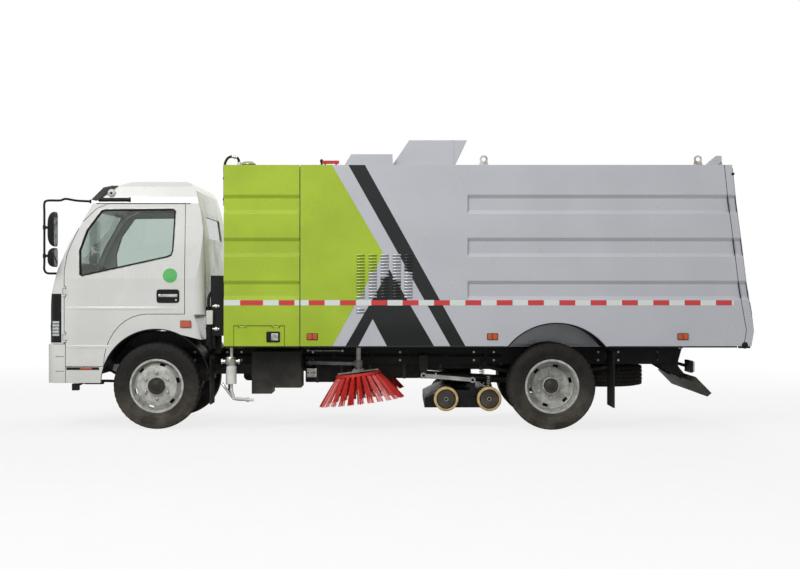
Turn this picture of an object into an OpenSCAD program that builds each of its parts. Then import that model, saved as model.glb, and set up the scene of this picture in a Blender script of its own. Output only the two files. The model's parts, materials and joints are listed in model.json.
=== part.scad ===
// Street sweeper truck: a cab-over light truck that carries a water and engine module, a tipping
// hopper body with a top-hung rear door, two side brushes and a wheeled suction head.
// Forward is -X, the driver's side is -Y, +Z is up, and the ground is Z = 0.
// Outlines are drawn as (x, z) and extruded across the truck, or as (y, z) and extruded along it.

/* [Overall] */
// Distance between the front and the rear axle
wheelbase = 3800; // [3500:10:4700]
// From the bumper's face to the front axle
front_overhang = 1067; // [1060:1:1100]
// From the rear axle to the rear door's lip
rear_overhang = 1918; // [1840:1:2090]
// Width of the module and the hopper body
body_w = 2200; // [2150:10:2640]
// Height of the body floor above the ground
body_floor_z = 806; // [806:1:860]
// Height of the body from its floor to its roof
body_h = 1728; // [1440:1:2080]

/* [Wheels] */
// Outer diameter of every tyre
tyre_d = 836; // [800:1:850]
// Width of every tyre
tyre_w = 215; // [190:1:225]
// Radius of the rims where the tyres sit
rim_r = 250; // [235:1:255]
// Distance from the middle of the truck to a front tyre's middle
front_wheel_y = 855; // [850:1:870]
// Distance from the middle of the truck to an outer rear tyre's middle
rear_wheel_y = 945; // [935:1:960]
// Spacing of the twin rear tyres
twin_spacing = 245; // [230:1:270]

/* [Cab] */
// Width of the cab
cab_w = 2000; // [1980:10:2100]
// Thickness of the cab's walls and of its doors
cab_wall = 48; // [40:1:60]
// Height of the cab's roof
cab_roof_z = 2402; // [2380:1:2440]
// How far each side leans in between the belt line and the gutter
cab_lean = 70; // [40:1:90]
// Gap round each door
door_gap = 6; // [5:1:10]
// Thickness of the glass
glass_t = 6; // [4:1:8]
// Radius of the front wheel arch
front_arch_r = 530; // [520:1:540]

/* [Sweeper body] */
// From the front axle to the module's front wall
module_setback = 663; // [655:1:700]
// Length of the fixed front module
module_len = 723; // [650:1:800]
// Gap between the module and the tipping body
module_gap = 8; // [6:1:15]
// Wall thickness of the module and the hopper body
body_wall = 45; // [40:1:60]
// Depth of the pressed grooves in the side walls
groove_depth = 26; // [15:1:30]
// Pitch of the pressed grooves
groove_pitch = 410; // [400:1:440]
// Radius of the rear wheel arch
rear_arch_r = 600; // [560:1:620]
// Thickness of the rear door
rear_door_t = 70; // [50:1:90]
// Length of the fan bay in front of the hopper space
fan_bay_len = 1440; // [1300:10:1500]

/* [Chassis] */
// Height of the frame rails
rail_h = 160; // [140:1:170]
// Distance from the middle of the truck to a rail's outer face
rail_y = 395; // [380:1:410]
// Width of a rail's flange
rail_flange = 65; // [55:1:75]
// Thickness of a rail's steel
rail_t = 8; // [6:1:10]
// Running clearance of a pin in its hole, on the radius
fit_gap = 0.05; // [0.02:0.01:0.1]

/* [Sweeping gear] */
// Radius of a brush over its bristle tips
brush_r = 430; // [380:1:450]
// Radius of a brush's disc
brush_disc_r = 225; // [200:1:240]
// Distance from the middle of the truck to a brush's spindle
brush_y = 700; // [680:1:720]
// Forward tilt of the brushes
brush_tilt = 7; // [4:1:9]
// Radius of the suction head's wheels
castor_r = 119; // [100:1:125]
// Height of the raised suction head's wheels above the ground
head_lift = 160; // [120:1:170]

/* [Hidden] */
$fn = 64;

overall_len = front_overhang + wheelbase + rear_overhang;
front_x = -overall_len / 2;
front_axle_x = front_x + front_overhang;
rear_axle_x = front_axle_x + wheelbase;
rear_x = rear_axle_x + rear_overhang;
axle_z = tyre_d / 2;
roof_z = body_floor_z + body_h;
reach = 3000; // longer than any cut needs to be

// Frame rails and what they carry
rail_top = body_floor_z - 46;
rail_z = rail_top - rail_h;
rail_front_x = front_axle_x - 890;
rail_rear_x = rear_x - 605;
tilt_pivot = [rear_x - 585, body_floor_z - 23];
tilt_pin_r = 18;
tilt_lug_r = 32;
cab_pivot = [-930, 640]; // from the front axle
cab_pin_r = 16;
sill_h = 34; // the tipping body's own long sills
sill_w = 60;

// Spare wheel, flat under the frame
spare_x = rear_axle_x + 595;
spare_z = rail_z - 122;

// Kingpins, spindles and hubs
kingpin_y = front_wheel_y - 130;
kingpin_r = 18;
eye_r = 36;
front_spindle_r = 24;
rear_spindle_r = 40;

// Cab
cab_belt_z = 1450;
gutter_z = 2177;
cab_floor_z = 1010;
arch_z = axle_z + 22;
door_hinge_x = -875; // from the front axle
door_hinge_r = 7;
window_inset = 20; // from the door's skin to its glass
door_inner_y = cab_w / 2 - cab_wall - cab_lean - 2; // no part of a door lies nearer the middle
footwell_y = 480;
steering_hub = [-470, -460, 1440]; // from the front axle, as is the foot
steering_foot = [-590, -460, 1290];
steering_column_r = 28;
door_corner_r = 146; // sweep of a door's front corner about its hinge

// Sweeper body
module_x = front_axle_x + module_setback;
hopper_x = module_x + module_len + module_gap;
bay_end_x = hopper_x + fan_bay_len;
groove_z = roof_z - 466; // lower edge of the top groove
groove_h = 182;
rear_hinge = [rear_x - 262, roof_z + 90];
rear_pin_r = 14;
hatch_x = module_x + 99;
hatch_w = 478;
hatch_h = 189;
hatch_t = 20;
hatch_pin_r = 5;

// Tipping cylinders: foot on the frame, eye on the hopper floor
cylinder_y = 225;
barrel_foot = [tilt_pivot[0] - 1050, body_floor_z - 166];
rod_eye = [tilt_pivot[0] - 1900, body_floor_z - 48];
barrel_r = 48;
rod_r = 30;
cylinder_pin_r = 20;

// Side brushes
brush_x = front_axle_x + 1938;
brush_z = 515;
brush_pivot_x = brush_x - 485;
brush_pivot_y = rail_y + 55;
brush_pin_r = 20;
brush_post_r = 22;
brush_post_top = body_floor_z - 30;
brush_arm_z = 622;

// Suction head
link_y = 722;
link_pivot = [rear_axle_x - 1227, 505];
link_eye = [rear_axle_x - 747, 462];
castor_x = [rear_axle_x - 1007, rear_axle_x - 587]; // front, rear
castor_y = 752;
castor_w = 46;
link_pin_r = 14;
hose_x = rear_axle_x - 867;
hose_y = 535;
hose_r = 95;
hose_z = 385;

// ---- helpers ----

// Extrudes an (x, z) outline from y0 to y1
module across(y0, y1) {
    translate([0, y1, 0]) rotate([90, 0, 0]) linear_extrude(y1 - y0) children();
}

// Extrudes a (y, z) outline from x0 to x1
module along(x0, x1) {
    translate([x0, 0, 0]) rotate([90, 0, 90]) linear_extrude(x1 - x0) children();
}

// A box from its lowest to its highest corner
module box(low, high) {
    translate(low) cube(high - low);
}

// A round bar between two points
module bar(p, q, r) {
    v = q - p;
    translate(p) rotate([0, acos(v[2] / norm(v)), atan2(v[1], v[0])]) cylinder(h = norm(v), r = r);
}

// A cylinder whose axis runs across the truck, from y0 to y1
module cross_pin(x, z, y0, y1, r) {
    translate([x, y1, z]) rotate([90, 0, 0]) cylinder(h = y1 - y0, r = r);
}

module at_front_axle() { translate([front_axle_x, 0, 0]) children(); }

// Draws its children, which lie on the -Y side, on both sides
module both_sides() {
    children();
    mirror([0, 1, 0]) children();
}

// side is -1 for the driver's side and 1 for the other
module on_side(side) {
    mirror([0, side > 0 ? 1 : 0, 0]) children();
}

// Turns a profile of (radius, distance along the axle) about an axis that points outwards on -Y
module wheel_turned(y) {
    translate([0, -y, axle_z]) rotate([90, 0, 0]) rotate_extrude() children();
}

// ---- wheels ----

// Cross-section of a tyre: (radius, distance from its middle), rounded at the shoulders
module tyre_section() {
    r = tyre_d / 2;
    w = tyre_w / 2;
    polygon([[rim_r, -w + 30], [rim_r + 14, -w + 9], [rim_r + 45, -w + 2], [r - 80, -w],
        [r - 32, -w + 6], [r - 10, -w + 17], [r, -w + 34], [r, w - 34], [r - 10, w - 17],
        [r - 32, w - 6], [r - 80, w], [rim_r + 45, w - 2], [rim_r + 14, w - 9], [rim_r, w - 30]]);
}

// Cross-section of a rim's barrel, its two flanges included
module barrel_section() {
    w = tyre_w / 2 - 30;
    polygon([[rim_r - 10, -w - 14], [rim_r + 10, -w - 14], [rim_r + 10, -w - 6], [rim_r, -w],
        [rim_r, w], [rim_r + 10, w + 6], [rim_r + 10, w + 14], [rim_r - 10, w + 14],
        [rim_r - 10, w - 20], [rim_r - 26, w - 45], [rim_r - 26, -w + 45], [rim_r - 10, -w + 20]]);
}

module hand_holes(y, hole_r, count) {
    for (i = [0:count - 1])
        translate([0, -y, axle_z]) rotate([0, 360 / count * i + 15, 0])
            translate([-26, -70, hole_r - 14]) cube([52, 140, 28]);
}

// A front wheel's disc stands nearly flush with its outer flange and carries the hub
module front_rim() {
    color("silver") difference() {
        union() {
            wheel_turned(front_wheel_y) barrel_section();
            wheel_turned(front_wheel_y) polygon([[front_spindle_r + fit_gap, -38], [70, -38], [70, 40],
                [150, 62], [190, 58], [rim_r - 24, 30], [rim_r - 24, 42], [192, 72], [150, 76],
                [88, 76], [79, 84], [79, 118], [70, 128], [0, 128], [0, 44],
                [front_spindle_r + fit_gap, 44]]);
        }
        hand_holes(front_wheel_y, 208, 6);
    }
}

// Twin wheels share one hub; the outer rim is deeply dished
module rear_rims() {
    inner_y = rear_wheel_y - twin_spacing;
    meet_y = rear_wheel_y - twin_spacing / 2;
    color("silver") difference() {
        union() {
            for (y = [inner_y, rear_wheel_y])
                wheel_turned(y) barrel_section();
            wheel_turned(meet_y) polygon([[rear_spindle_r + fit_gap, -150], [110, -150], [110, -12],
                [175, -12], [rim_r - 25, -55], [rim_r - 25, -43], [180, 0], [rim_r - 25, 43],
                [rim_r - 25, 55], [175, 12], [88, 12], [88, 96], [78, 106], [0, 106], [0, 84],
                [rear_spindle_r + fit_gap, 84]]);
        }
        hand_holes(meet_y, 196, 6);
    }
}

module front_tyre() {
    color("#1b1b1a") wheel_turned(front_wheel_y) tyre_section();
}

module rear_tyres() {
    color("#1b1b1a") for (y = [rear_wheel_y - twin_spacing, rear_wheel_y])
        wheel_turned(y) tyre_section();
}

module front_rim_left() { at_front_axle() front_rim(); }
module front_rim_right() { at_front_axle() on_side(1) front_rim(); }
module front_tyre_left() { at_front_axle() front_tyre(); }
module front_tyre_right() { at_front_axle() on_side(1) front_tyre(); }
module rear_rims_left() { translate([rear_axle_x, 0, 0]) rear_rims(); }
module rear_rims_right() { translate([rear_axle_x, 0, 0]) on_side(1) rear_rims(); }
module rear_tyres_left() { translate([rear_axle_x, 0, 0]) rear_tyres(); }
module rear_tyres_right() { translate([rear_axle_x, 0, 0]) on_side(1) rear_tyres(); }

// ---- axles, knuckles and springs ----

// Drop-centre beam with the two kingpins pressed into its ends
module front_axle() {
    color("#2a2a2a") at_front_axle() {
        difference() {
            union() {
                along(-38, 38) polygon([[-kingpin_y, axle_z - 40], [-kingpin_y + 60, axle_z - 40],
                    [-kingpin_y + 170, axle_z - 120], [kingpin_y - 170, axle_z - 120],
                    [kingpin_y - 60, axle_z - 40], [kingpin_y, axle_z - 40],
                    [kingpin_y, axle_z + 34], [kingpin_y - 50, axle_z + 34],
                    [kingpin_y - 190, axle_z - 56], [190 - kingpin_y, axle_z - 56],
                    [50 - kingpin_y, axle_z + 34], [-kingpin_y, axle_z + 34]]);
                both_sides() translate([0, -kingpin_y, axle_z - 40]) cylinder(h = 80, r = eye_r);
            }
            both_sides() for (x = [-38, 18])
                translate([x, -kingpin_y + 200, axle_z - 104])
                    cube([20, 2 * kingpin_y - 400, 32]);
        }
        both_sides() translate([0, -kingpin_y, axle_z - 90]) cylinder(h = 180, r = kingpin_r);
    }
}

// Fork round the axle's eye, brake plate and spindle
module knuckle() {
    color("#3a3a3a") {
        difference() {
            union() {
                for (z = [axle_z - 86, axle_z + 46]) {
                    translate([0, -kingpin_y, z]) cylinder(h = 40, r = 34);
                    box([-34, -kingpin_y - 60, z], [34, -kingpin_y, z + 40]);
                }
                box([-34, -kingpin_y - 68, axle_z - 86], [34, -kingpin_y - 44, axle_z + 86]);
            }
            translate([0, -kingpin_y, 0]) cylinder(h = reach, r = kingpin_r + fit_gap);
        }
        cross_pin(0, axle_z, -kingpin_y - 78, -kingpin_y - 62, 150);
        cross_pin(0, axle_z, -front_wheel_y - 40, -kingpin_y - 70, front_spindle_r);
    }
}

module knuckle_left() { at_front_axle() knuckle(); }
module knuckle_right() { at_front_axle() on_side(1) knuckle(); }

// Axle tube, differential housing and the two wheel spindles
module rear_axle() {
    tube_y = rear_wheel_y - twin_spacing - 150;
    color("#2a2a2a") translate([rear_axle_x, 0, 0]) {
        cross_pin(0, axle_z, -tube_y, tube_y, 60);
        cross_pin(0, axle_z, -75, 75, 150);
        translate([-230, 0, axle_z]) rotate([0, 90, 0]) cylinder(h = 150, r = 62);
        both_sides() {
            cross_pin(0, axle_z, -tube_y - 14, -tube_y + 8, 150);
            cross_pin(0, axle_z, -rear_wheel_y + twin_spacing / 2 - 80, -tube_y, rear_spindle_r);
        }
    }
}

// A leaf pack's side outline: seat height in the middle, eye height at the ends
module leaf_outline(half, seat_z, eye_z, thick) {
    steps = 6;
    low = [for (i = [-steps:steps]) [half * i / steps, seat_z + (eye_z - seat_z) * pow(i / steps, 2)]];
    top = [for (i = [steps:-1:-steps])
        [half * i / steps, seat_z + (eye_z - seat_z) * pow(i / steps, 2)
            + thick * (1 - 0.6 * abs(i) / steps)]];
    polygon(concat(low, top));
}

module leaf_springs() {
    spring_w = 66;
    color("#232323") {
        at_front_axle() both_sides()
            across(-rail_y - 30 - spring_w, -rail_y - 30)
                leaf_outline(560, axle_z - 56, rail_z - 50, 46);
        translate([rear_axle_x, 0, 0]) both_sides()
            across(-rail_y - 30 - spring_w, -rail_y - 30)
                leaf_outline(620, axle_z + 58, rail_z - 30, 62);
    }
}

// ---- chassis ----

module rail() {
    difference() {
        box([rail_front_x, -rail_y, rail_z], [rail_rear_x, -rail_y + rail_flange, rail_top]);
        box([rail_front_x - 1, -rail_y + rail_t, rail_z + rail_t],
            [rail_rear_x + 1, -rail_y + rail_flange + 1, rail_top - rail_t]);
    }
}

// Plates that carry the cab pin, the spring eyes, the tipping pin and the sweeping gear
module rail_brackets() {
    // spring hangers: (middle of the spring, half its length, top of its eye)
    for (s = [[front_axle_x, 560, rail_z - 34], [rear_axle_x, 620, rail_z - 8]])
        for (end = [-1, 1])
            box([s[0] + end * s[1] - 22, -rail_y - 100, s[2]],
                [s[0] + end * s[1] + 22, -rail_y + rail_t / 2, s[2] + 42]);
    // cab pin's bracket at the rail's front end
    at_front_axle() {
        across(-rail_y, -rail_y + 20)
            polygon([[cab_pivot[0] - 20, cab_pivot[1] - 30], [-860, rail_z + 10],
                [-860, rail_top - 10], [cab_pivot[0] - 20, cab_pivot[1] + 30]]);
        cross_pin(cab_pivot[0], cab_pivot[1], -rail_y, -rail_y + 20, 36);
        cross_pin(cab_pivot[0], cab_pivot[1], -rail_y - 52, -rail_y + 10, cab_pin_r);
    }
    // tipping pivot's ear at the rail's rear end
    across(-rail_y - 16, -rail_y)
        polygon([[rail_rear_x - 200, rail_z + 20], [rail_rear_x, rail_z + 20],
            [tilt_pivot[0] + 20, tilt_pivot[1] - 20], [tilt_pivot[0], tilt_pivot[1] + 6],
            [rail_rear_x - 200, rail_top - 10]]);
    cross_pin(tilt_pivot[0], tilt_pivot[1] - 6, -rail_y - 16, -rail_y, tilt_lug_r - 10);
    cross_pin(tilt_pivot[0], tilt_pivot[1], -rail_y - 62, -rail_y - 4, tilt_pin_r);
    // hanger of the suction head's link
    across(-link_y + 18, -link_y + 32)
        polygon([[link_pivot[0] - 45, rail_z + 60], [link_pivot[0] - 30, link_pivot[1] - 30],
            [link_pivot[0] + 30, link_pivot[1] - 30], [link_pivot[0] + 45, rail_z + 60]]);
    cross_pin(link_pivot[0], link_pivot[1], -link_y - 16, -link_y + 20, link_pin_r);
    box([link_pivot[0] - 45, -link_y + 18, rail_z + 60],
        [link_pivot[0] + 45, -rail_y, rail_z + 100]);
    // post bracket of the side brush's swinging arm
    box([brush_pivot_x - 45, -brush_pivot_y - 45, rail_z + 50],
        [brush_pivot_x + 45, -rail_y, rail_z + 80]);
    translate([brush_pivot_x, -brush_pivot_y, brush_arm_z - 42]) cylinder(h = 80, r = brush_pin_r);
}

module chassis_frame() {
    color("#1e1e1e") {
        both_sides() {
            rail();
            rail_brackets();
        }
        // cross members between the rails
        for (x = [front_axle_x - 700, front_axle_x + 900, brush_x + 60, rear_axle_x - 700,
                spare_x, rail_rear_x - 260])
            box([x - 35, -rail_y + rail_t / 2, rail_z + 30],
                [x + 35, rail_y - rail_t / 2, rail_z + 90]);
        // foot pins of the tipping cylinders sit on this tube
        cross_pin(barrel_foot[0], barrel_foot[1], -rail_y + rail_t / 2, rail_y - rail_t / 2,
            cylinder_pin_r);
        // winch rod that holds the spare wheel
        translate([spare_x, 0, spare_z]) cylinder(h = rail_z + 40 - spare_z, r = 12);
    }
}

module driveline() {
    color("#3a3a3a") {
        box([front_axle_x + 430, -165, rail_z - 110], [front_axle_x + 860, 165, rail_top - 40]);
        bar([front_axle_x + 850, 0, rail_z - 20], [rear_axle_x - 245, 0, axle_z], 40);
    }
}

module engine_block() {
    color("#4a4a4a") at_front_axle()
        box([-430, -290, axle_z + 10], [430, 290, cab_floor_z - 100]);
}

module fuel_tank() {
    color("#30302f") at_front_axle() {
        across(rail_y + 60, rail_y + 520) offset(r = 50, $fn = 32) offset(delta = -50)
            polygon([[700, 385], [1200, 385], [1200, 745], [700, 745]]);
        for (x = [800, 1100])
            box([x - 25, rail_y, 560], [x + 25, rail_y + 70, 600]);
    }
}

module battery_box() {
    color("#1c1c1c") at_front_axle() {
        box([909, -rail_y - 480, 395], [1388, -rail_y - 60, 745]);
        box([909, -rail_y - 480, 337], [1101, -rail_y - 60, 400]);
        for (x = [980, 1320])
            box([x - 25, -rail_y - 70, 640], [x + 25, -rail_y, 680]);
    }
}

module mud_flap(x, y0, y1, low_z, bracket_z) {
    box([x - 7, -y1, low_z], [x + 7, -y0, bracket_z + 20]);
    bar([x + 20, -y1 + 20, bracket_z], [x + 20, -rail_y, bracket_z], 16);
}

module mud_flaps() {
    color("#161616") both_sides() {
        mud_flap(front_axle_x + 520, front_wheel_y - 190, front_wheel_y + 110, 240, rail_top - 70);
        mud_flap(rear_axle_x + 590, rear_wheel_y - twin_spacing - 110, rear_wheel_y + 110, 213,
            rail_top - 30);
    }
}

// Carried flat under the rear of the frame
module spare_wheel() {
    color("#1b1b1a") translate([spare_x, 0, spare_z]) {
        rotate_extrude() tyre_section();
        rotate_extrude() barrel_section();
        difference() {
            cylinder(h = 12, r = rim_r - 20);
            translate([0, 0, -1]) cylinder(h = 20, r = 12);
        }
    }
}

module underrun_bar() {
    color("#191919") {
        across(-1000, 1000)
            polygon([[rear_x - 575, 470], [rear_x - 426, 318], [rear_x - 385, 352],
                [rear_x - 537, 508]]);
        both_sides() across(-rail_y + rail_flange - 20, -rail_y + rail_flange - 6)
            polygon([[rear_x - 745, rail_z], [rear_x - 610, rail_z], [rear_x - 505, 470],
                [rear_x - 555, 445], [rear_x - 745, 560]]);
    }
}

// Water filter with its feed pipe and the spray pipe behind the front wheel
module water_filter() {
    color("white") translate([module_x + 63, -985, 0]) {
        translate([0, 0, 440]) cylinder(h = 170, r = 48);
        translate([0, 0, 610]) cylinder(h = 82, r = 36);
        translate([0, 0, 690]) cylinder(h = body_floor_z - 690, r = 14);
        translate([0, 0, 375]) cylinder(h = 67, r = 14);
        bar([0, 0, 380], [23, 0, 301], 14);
        for (elbow = [[0, 0, 380], [23, 0, 301]])
            translate(elbow) sphere(r = 17);
        bar([23, 0, 301], [212, 0, 285], 14);
    }
}

module intake_snorkel() {
    color("#121212") at_front_axle() {
        box([520, -930, 900], [640, -660, 1480]);
        box([540, -700, rail_top - 40], [600, -rail_y, rail_top + 20]);
        box([540, -760, rail_top - 40], [600, -690, 905]);
    }
}

// ---- cab, drawn from the front axle ----

// Side view of the cab's outer skin, its arch not yet cut
module cab_side_outline() {
    polygon([[-863, 449], [-863, 826], [-1042, 826], [-1036, 1054], [-1010, 1300], [-940, 1542],
        [-832, 1796], [-716, 1991], [-609, 2186], [-500, 2276], [-384, cab_roof_z - 52],
        [-260, cab_roof_z - 12], [-150, cab_roof_z], [245, cab_roof_z], [320, cab_roof_z - 30],
        [372, cab_roof_z - 100], [425, 2100], [460, 1850], [470, 1500], [470, 1105], [365, 1105],
        [440, 862], [230, 915], [0, 900], [-500, 449]]);
}

// Front view of the cab's outer skin
module cab_front_outline() {
    half = cab_w / 2;
    right = [[half, 400], [half, cab_belt_z], [half - cab_lean, gutter_z],
        [half - cab_lean - 20, gutter_z + 60], [half - cab_lean - 65, cab_roof_z - 60],
        [half - cab_lean - 140, cab_roof_z - 12], [half - cab_lean - 260, cab_roof_z]];
    left = [for (i = [len(right) - 1:-1:0]) [-right[i][0], right[i][1]]];
    polygon(concat(right, left));
}

// Plan view: slightly bowed front, rounded corners
module cab_plan_outline() {
    offset(r = 110, $fn = 48) offset(delta = -110)
        polygon([[-1044, -300], [-1044, 300], [-1024, cab_w / 2], [472, cab_w / 2],
            [472, -cab_w / 2], [-1024, -cab_w / 2]]);
}

// The cab's outer form, drawn in by an inset
module cab_solid(inset = 0) {
    intersection() {
        across(-cab_w, cab_w) offset(delta = -inset) cab_side_outline();
        along(-reach, reach) offset(delta = -inset) cab_front_outline();
        linear_extrude(reach) offset(delta = -inset) cab_plan_outline();
    }
}

// Everything between the outer form and the same form drawn in by depth
module cab_skin(depth) {
    difference() {
        cab_solid(0);
        cab_solid(depth);
    }
}

// Side view of a door; its lower rear edge sweeps round the wheel arch
module door_outline() {
    sweep = [for (a = [0:10:90]) [-82 - 420 * sin(a), 625 + 488 * cos(a)]];
    polygon(concat([[-502, 610], [-875, 610], [-875, 1537], [-849, 1691], [-799, 1815],
        [-719, 1984], [-572, 2126], [-462, 2171], [274, 2171], [274, 1113]], sweep));
}

module door_window_outline() {
    polygon([[-530, 2104], [-500, 2114], [160, 2120], [182, 2100], [162, 1718], [146, 1676],
        [106, 1657], [-705, 1478], [-728, 1490], [-735, 1718], [-667, 1915]]);
}

module windscreen_outline() {
    half = cab_w / 2 - 126;
    polygon([[-half, 1586], [half, 1586], [half - 46, 2130], [46 - half, 2130]]);
}

module rear_window_outline() {
    polygon([[-560, 1845], [560, 1845], [560, 2060], [-560, 2060]]);
}

// Where the two headlights sit in the corners of the skin
module headlight_region() {
    both_sides() box([-1100, -cab_w, 836], [-904, -cab_w / 2 + 330, 1305]);
}

// Pins and knuckles of a door's two hinges, on the -Y side
module door_hinge(z, knuckle_part) {
    translate([door_hinge_x, -cab_w / 2 - 2, z]) {
        if (knuckle_part) {
            difference() {
                cylinder(h = 50, r = door_hinge_r + 5);
                translate([0, 0, -1]) cylinder(h = 52, r = door_hinge_r + fit_gap);
            }
        } else {
            translate([0, 0, -22]) cylinder(h = 94, r = door_hinge_r);
            for (dz = [-22, 56])
                translate([0, 0, dz]) cylinder(h = 16, r = door_hinge_r + 5);
        }
    }
}
door_hinge_heights = [862, 1300];

// Clears the shell round a door's hinge knuckle
module door_hinge_clearance(z) {
    translate([door_hinge_x, -cab_w / 2 - 2, z - 6]) cylinder(h = 62, r = door_hinge_r + 11);
}

module cab_shell() {
    color("#e0e0de") at_front_axle() {
        difference() {
            cab_solid(0);
            // cabin
            intersection() {
                cab_solid(cab_wall);
                union() {
                    box([-reach, -reach, cab_floor_z], [reach, reach, reach]);
                    both_sides() box([-815, -reach, 665], [-560, -footwell_y, cab_floor_z + 1]);
                }
            }
            // engine tunnel, open to the front behind the bumper
            box([-1000, -455, 300], [600, 455, 822]);
            box([-815, -455, 800], [reach, 455, cab_floor_z - cab_wall]);
            // space under the footwells, behind the sills
            both_sides() box([-815, -cab_w / 2 + cab_wall, 300], [0, -450, 665 - cab_wall]);
            // wheel arches
            translate([0, 0, arch_z]) rotate([90, 0, 0])
                cylinder(h = 2 * cab_w, r = front_arch_r, center = true, $fn = 96);
            // doors with the gap round them
            both_sides() intersection() {
                cab_skin(cab_wall + 1);
                across(-cab_w, -door_inner_y) offset(delta = door_gap) door_outline();
            }
            both_sides() for (z = door_hinge_heights)
                door_hinge_clearance(z);
            // footwell floor, cleared for the front corner of an opening door
            both_sides() intersection() {
                box([-817, -cab_w / 2 + cab_wall, 600], [0, -450, 700]);
                translate([door_hinge_x, -cab_w / 2 - 2, 600])
                    cylinder(h = 100, r = door_corner_r);
            }
            // glass and lamps
            intersection() {
                cab_skin(cab_wall + 1);
                along(-reach, 0) windscreen_outline();
            }
            intersection() {
                cab_skin(cab_wall + 1);
                along(0, reach) rear_window_outline();
            }
            intersection() {
                cab_skin(38);
                headlight_region();
            }
        }
        both_sides() for (z = door_hinge_heights)
            door_hinge(z, false);
        both_sides() for (z = door_hinge_heights)
            for (dz = [-22, 56])
                box([door_hinge_x - 22, -cab_w / 2 - 8, z + dz],
                    [door_hinge_x - 2, -cab_w / 2 + 20, z + dz + 16]);
        // lugs that hang on the cab pin
        both_sides() difference() {
            union() {
                across(-rail_y - 46, -rail_y - 6)
                    polygon([[cab_pivot[0] - 26, cab_pivot[1]], [cab_pivot[0] + 26, cab_pivot[1]],
                        [cab_pivot[0] + 46, 830], [cab_pivot[0] - 46, 830]]);
                cross_pin(cab_pivot[0], cab_pivot[1], -rail_y - 46, -rail_y - 6, 30);
            }
            cross_pin(cab_pivot[0], cab_pivot[1], -rail_y - 60, 0, cab_pin_r + fit_gap);
        }
    }
}

module door() {
    color("#e0e0de") {
        difference() {
            intersection() {
                cab_skin(cab_wall);
                across(-cab_w, -door_inner_y) door_outline();
            }
            across(-cab_w, 0) door_window_outline();
            for (z = door_hinge_heights)
                translate([door_hinge_x, -cab_w / 2 - 2, z - 30])
                    cylinder(h = 110, r = door_hinge_r + 11);
        }
        for (z = door_hinge_heights)
            door_hinge(z, true);
        for (z = door_hinge_heights)
            box([door_hinge_x + door_hinge_r + 2, -cab_w / 2 - 6, z],
                [door_hinge_x + 26, -cab_w / 2 + 14, z + 50]);
    }
}

module door_glass() {
    color("#9fb4bd", 0.4) intersection() {
        difference() {
            cab_solid(window_inset);
            cab_solid(window_inset + glass_t);
        }
        across(-cab_w, 0) door_window_outline();
    }
}

module door_left() { at_front_axle() door(); }
module door_right() { at_front_axle() on_side(1) door(); }
module door_glass_left() { at_front_axle() door_glass(); }
module door_glass_right() { at_front_axle() on_side(1) door_glass(); }

module windscreen() {
    color("#9fb4bd", 0.4) at_front_axle() intersection() {
        difference() {
            cab_solid(8);
            cab_solid(8 + glass_t);
        }
        along(-reach, 0) windscreen_outline();
    }
}

module cab_rear_window() {
    color("#9fb4bd", 0.4) at_front_axle() intersection() {
        difference() {
            cab_solid(12);
            cab_solid(12 + glass_t);
        }
        along(0, reach) rear_window_outline();
    }
}

module headlights() {
    color("#222426") at_front_axle() intersection() {
        cab_skin(38);
        headlight_region();
    }
}

// Bumper wraps round to the doors and is open behind
module bumper() {
    wall = 42;
    color("#e0e0de") at_front_axle() difference() {
        intersection() {
            across(-cab_w, cab_w)
                polygon([[-869, 449], [-1040, 449], [-1056, 480], [-1067, 560], [-1067, 790],
                    [-1050, 820], [-869, 820]]);
            linear_extrude(reach) offset(r = 120, $fn = 48) offset(delta = -120)
                polygon([[-1067, -350], [-1067, 350], [-1045, cab_w / 2], [-600, cab_w / 2],
                    [-600, -cab_w / 2], [-1045, -cab_w / 2]]);
        }
        box([-1067 + wall + 16, -cab_w / 2 + wall, 400], [-600, cab_w / 2 - wall, 820 - wall]);
        box([-982, -rail_y - 64, 500], [-600, rail_y + 64, reach]);
    }
}

// Sun visor over the windscreen, shaped to the roof
module roof_visor() {
    color("#141617") at_front_axle() difference() {
        intersection() {
            across(-cab_w, cab_w)
                polygon([[-630, 2212], [-521, 2333], [-440, 2350], [-384, cab_roof_z - 52],
                    [-560, 2212]]);
            along(-reach, reach) offset(delta = 16) cab_front_outline();
        }
        cab_solid(0);
    }
}

// Tube frames that start at the visor's ends, with two heads on each
module mirrors() {
    frame_y = -cab_w / 2 - 165;
    head_y = [-cab_w / 2 - 150, -cab_w / 2 + 35];
    tube_x = -1044;
    color("#121314") at_front_axle() both_sides() {
        bar([-640, -cab_w / 2 + 95, 2196], [-830, -cab_w / 2 - 60, 2198], 11);
        bar([-830, -cab_w / 2 - 60, 2198], [tube_x, frame_y + 60, 2196], 11);
        translate([-830, -cab_w / 2 - 60, 2198]) sphere(11);
        translate([tube_x, frame_y + 60, 2196]) sphere(11);
        bar([tube_x, frame_y + 60, 2196], [tube_x, frame_y + 60, 1505], 11);
        translate([tube_x, frame_y + 60, 1505]) sphere(11);
        bar([tube_x, frame_y + 60, 1505], [-960, -cab_w / 2 + 60, 1500], 11);
        // heads: (lowest z, highest z)
        for (head = [[1561, 1743], [1757, 2087]])
            box([-1021, head_y[0], head[0]], [-945, head_y[1], head[1]]);
        for (z = [1652, 1922])
            box([tube_x, frame_y + 48, z], [-1020, frame_y + 72, z + 30]);
    }
}

module dashboard() {
    half = cab_w / 2 - cab_wall - 80;
    color("#2b2d2e") at_front_axle() difference() {
        across(-half, half)
            polygon([[-870, 1120], [-640, 1120], [-600, 1250], [-560, 1400], [-600, 1440],
                [-760, 1470], [-880, 1440], [-930, 1320], [-960, 1200]]);
        bar(steering_hub, steering_foot, steering_column_r + fit_gap);
    }
}

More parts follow.
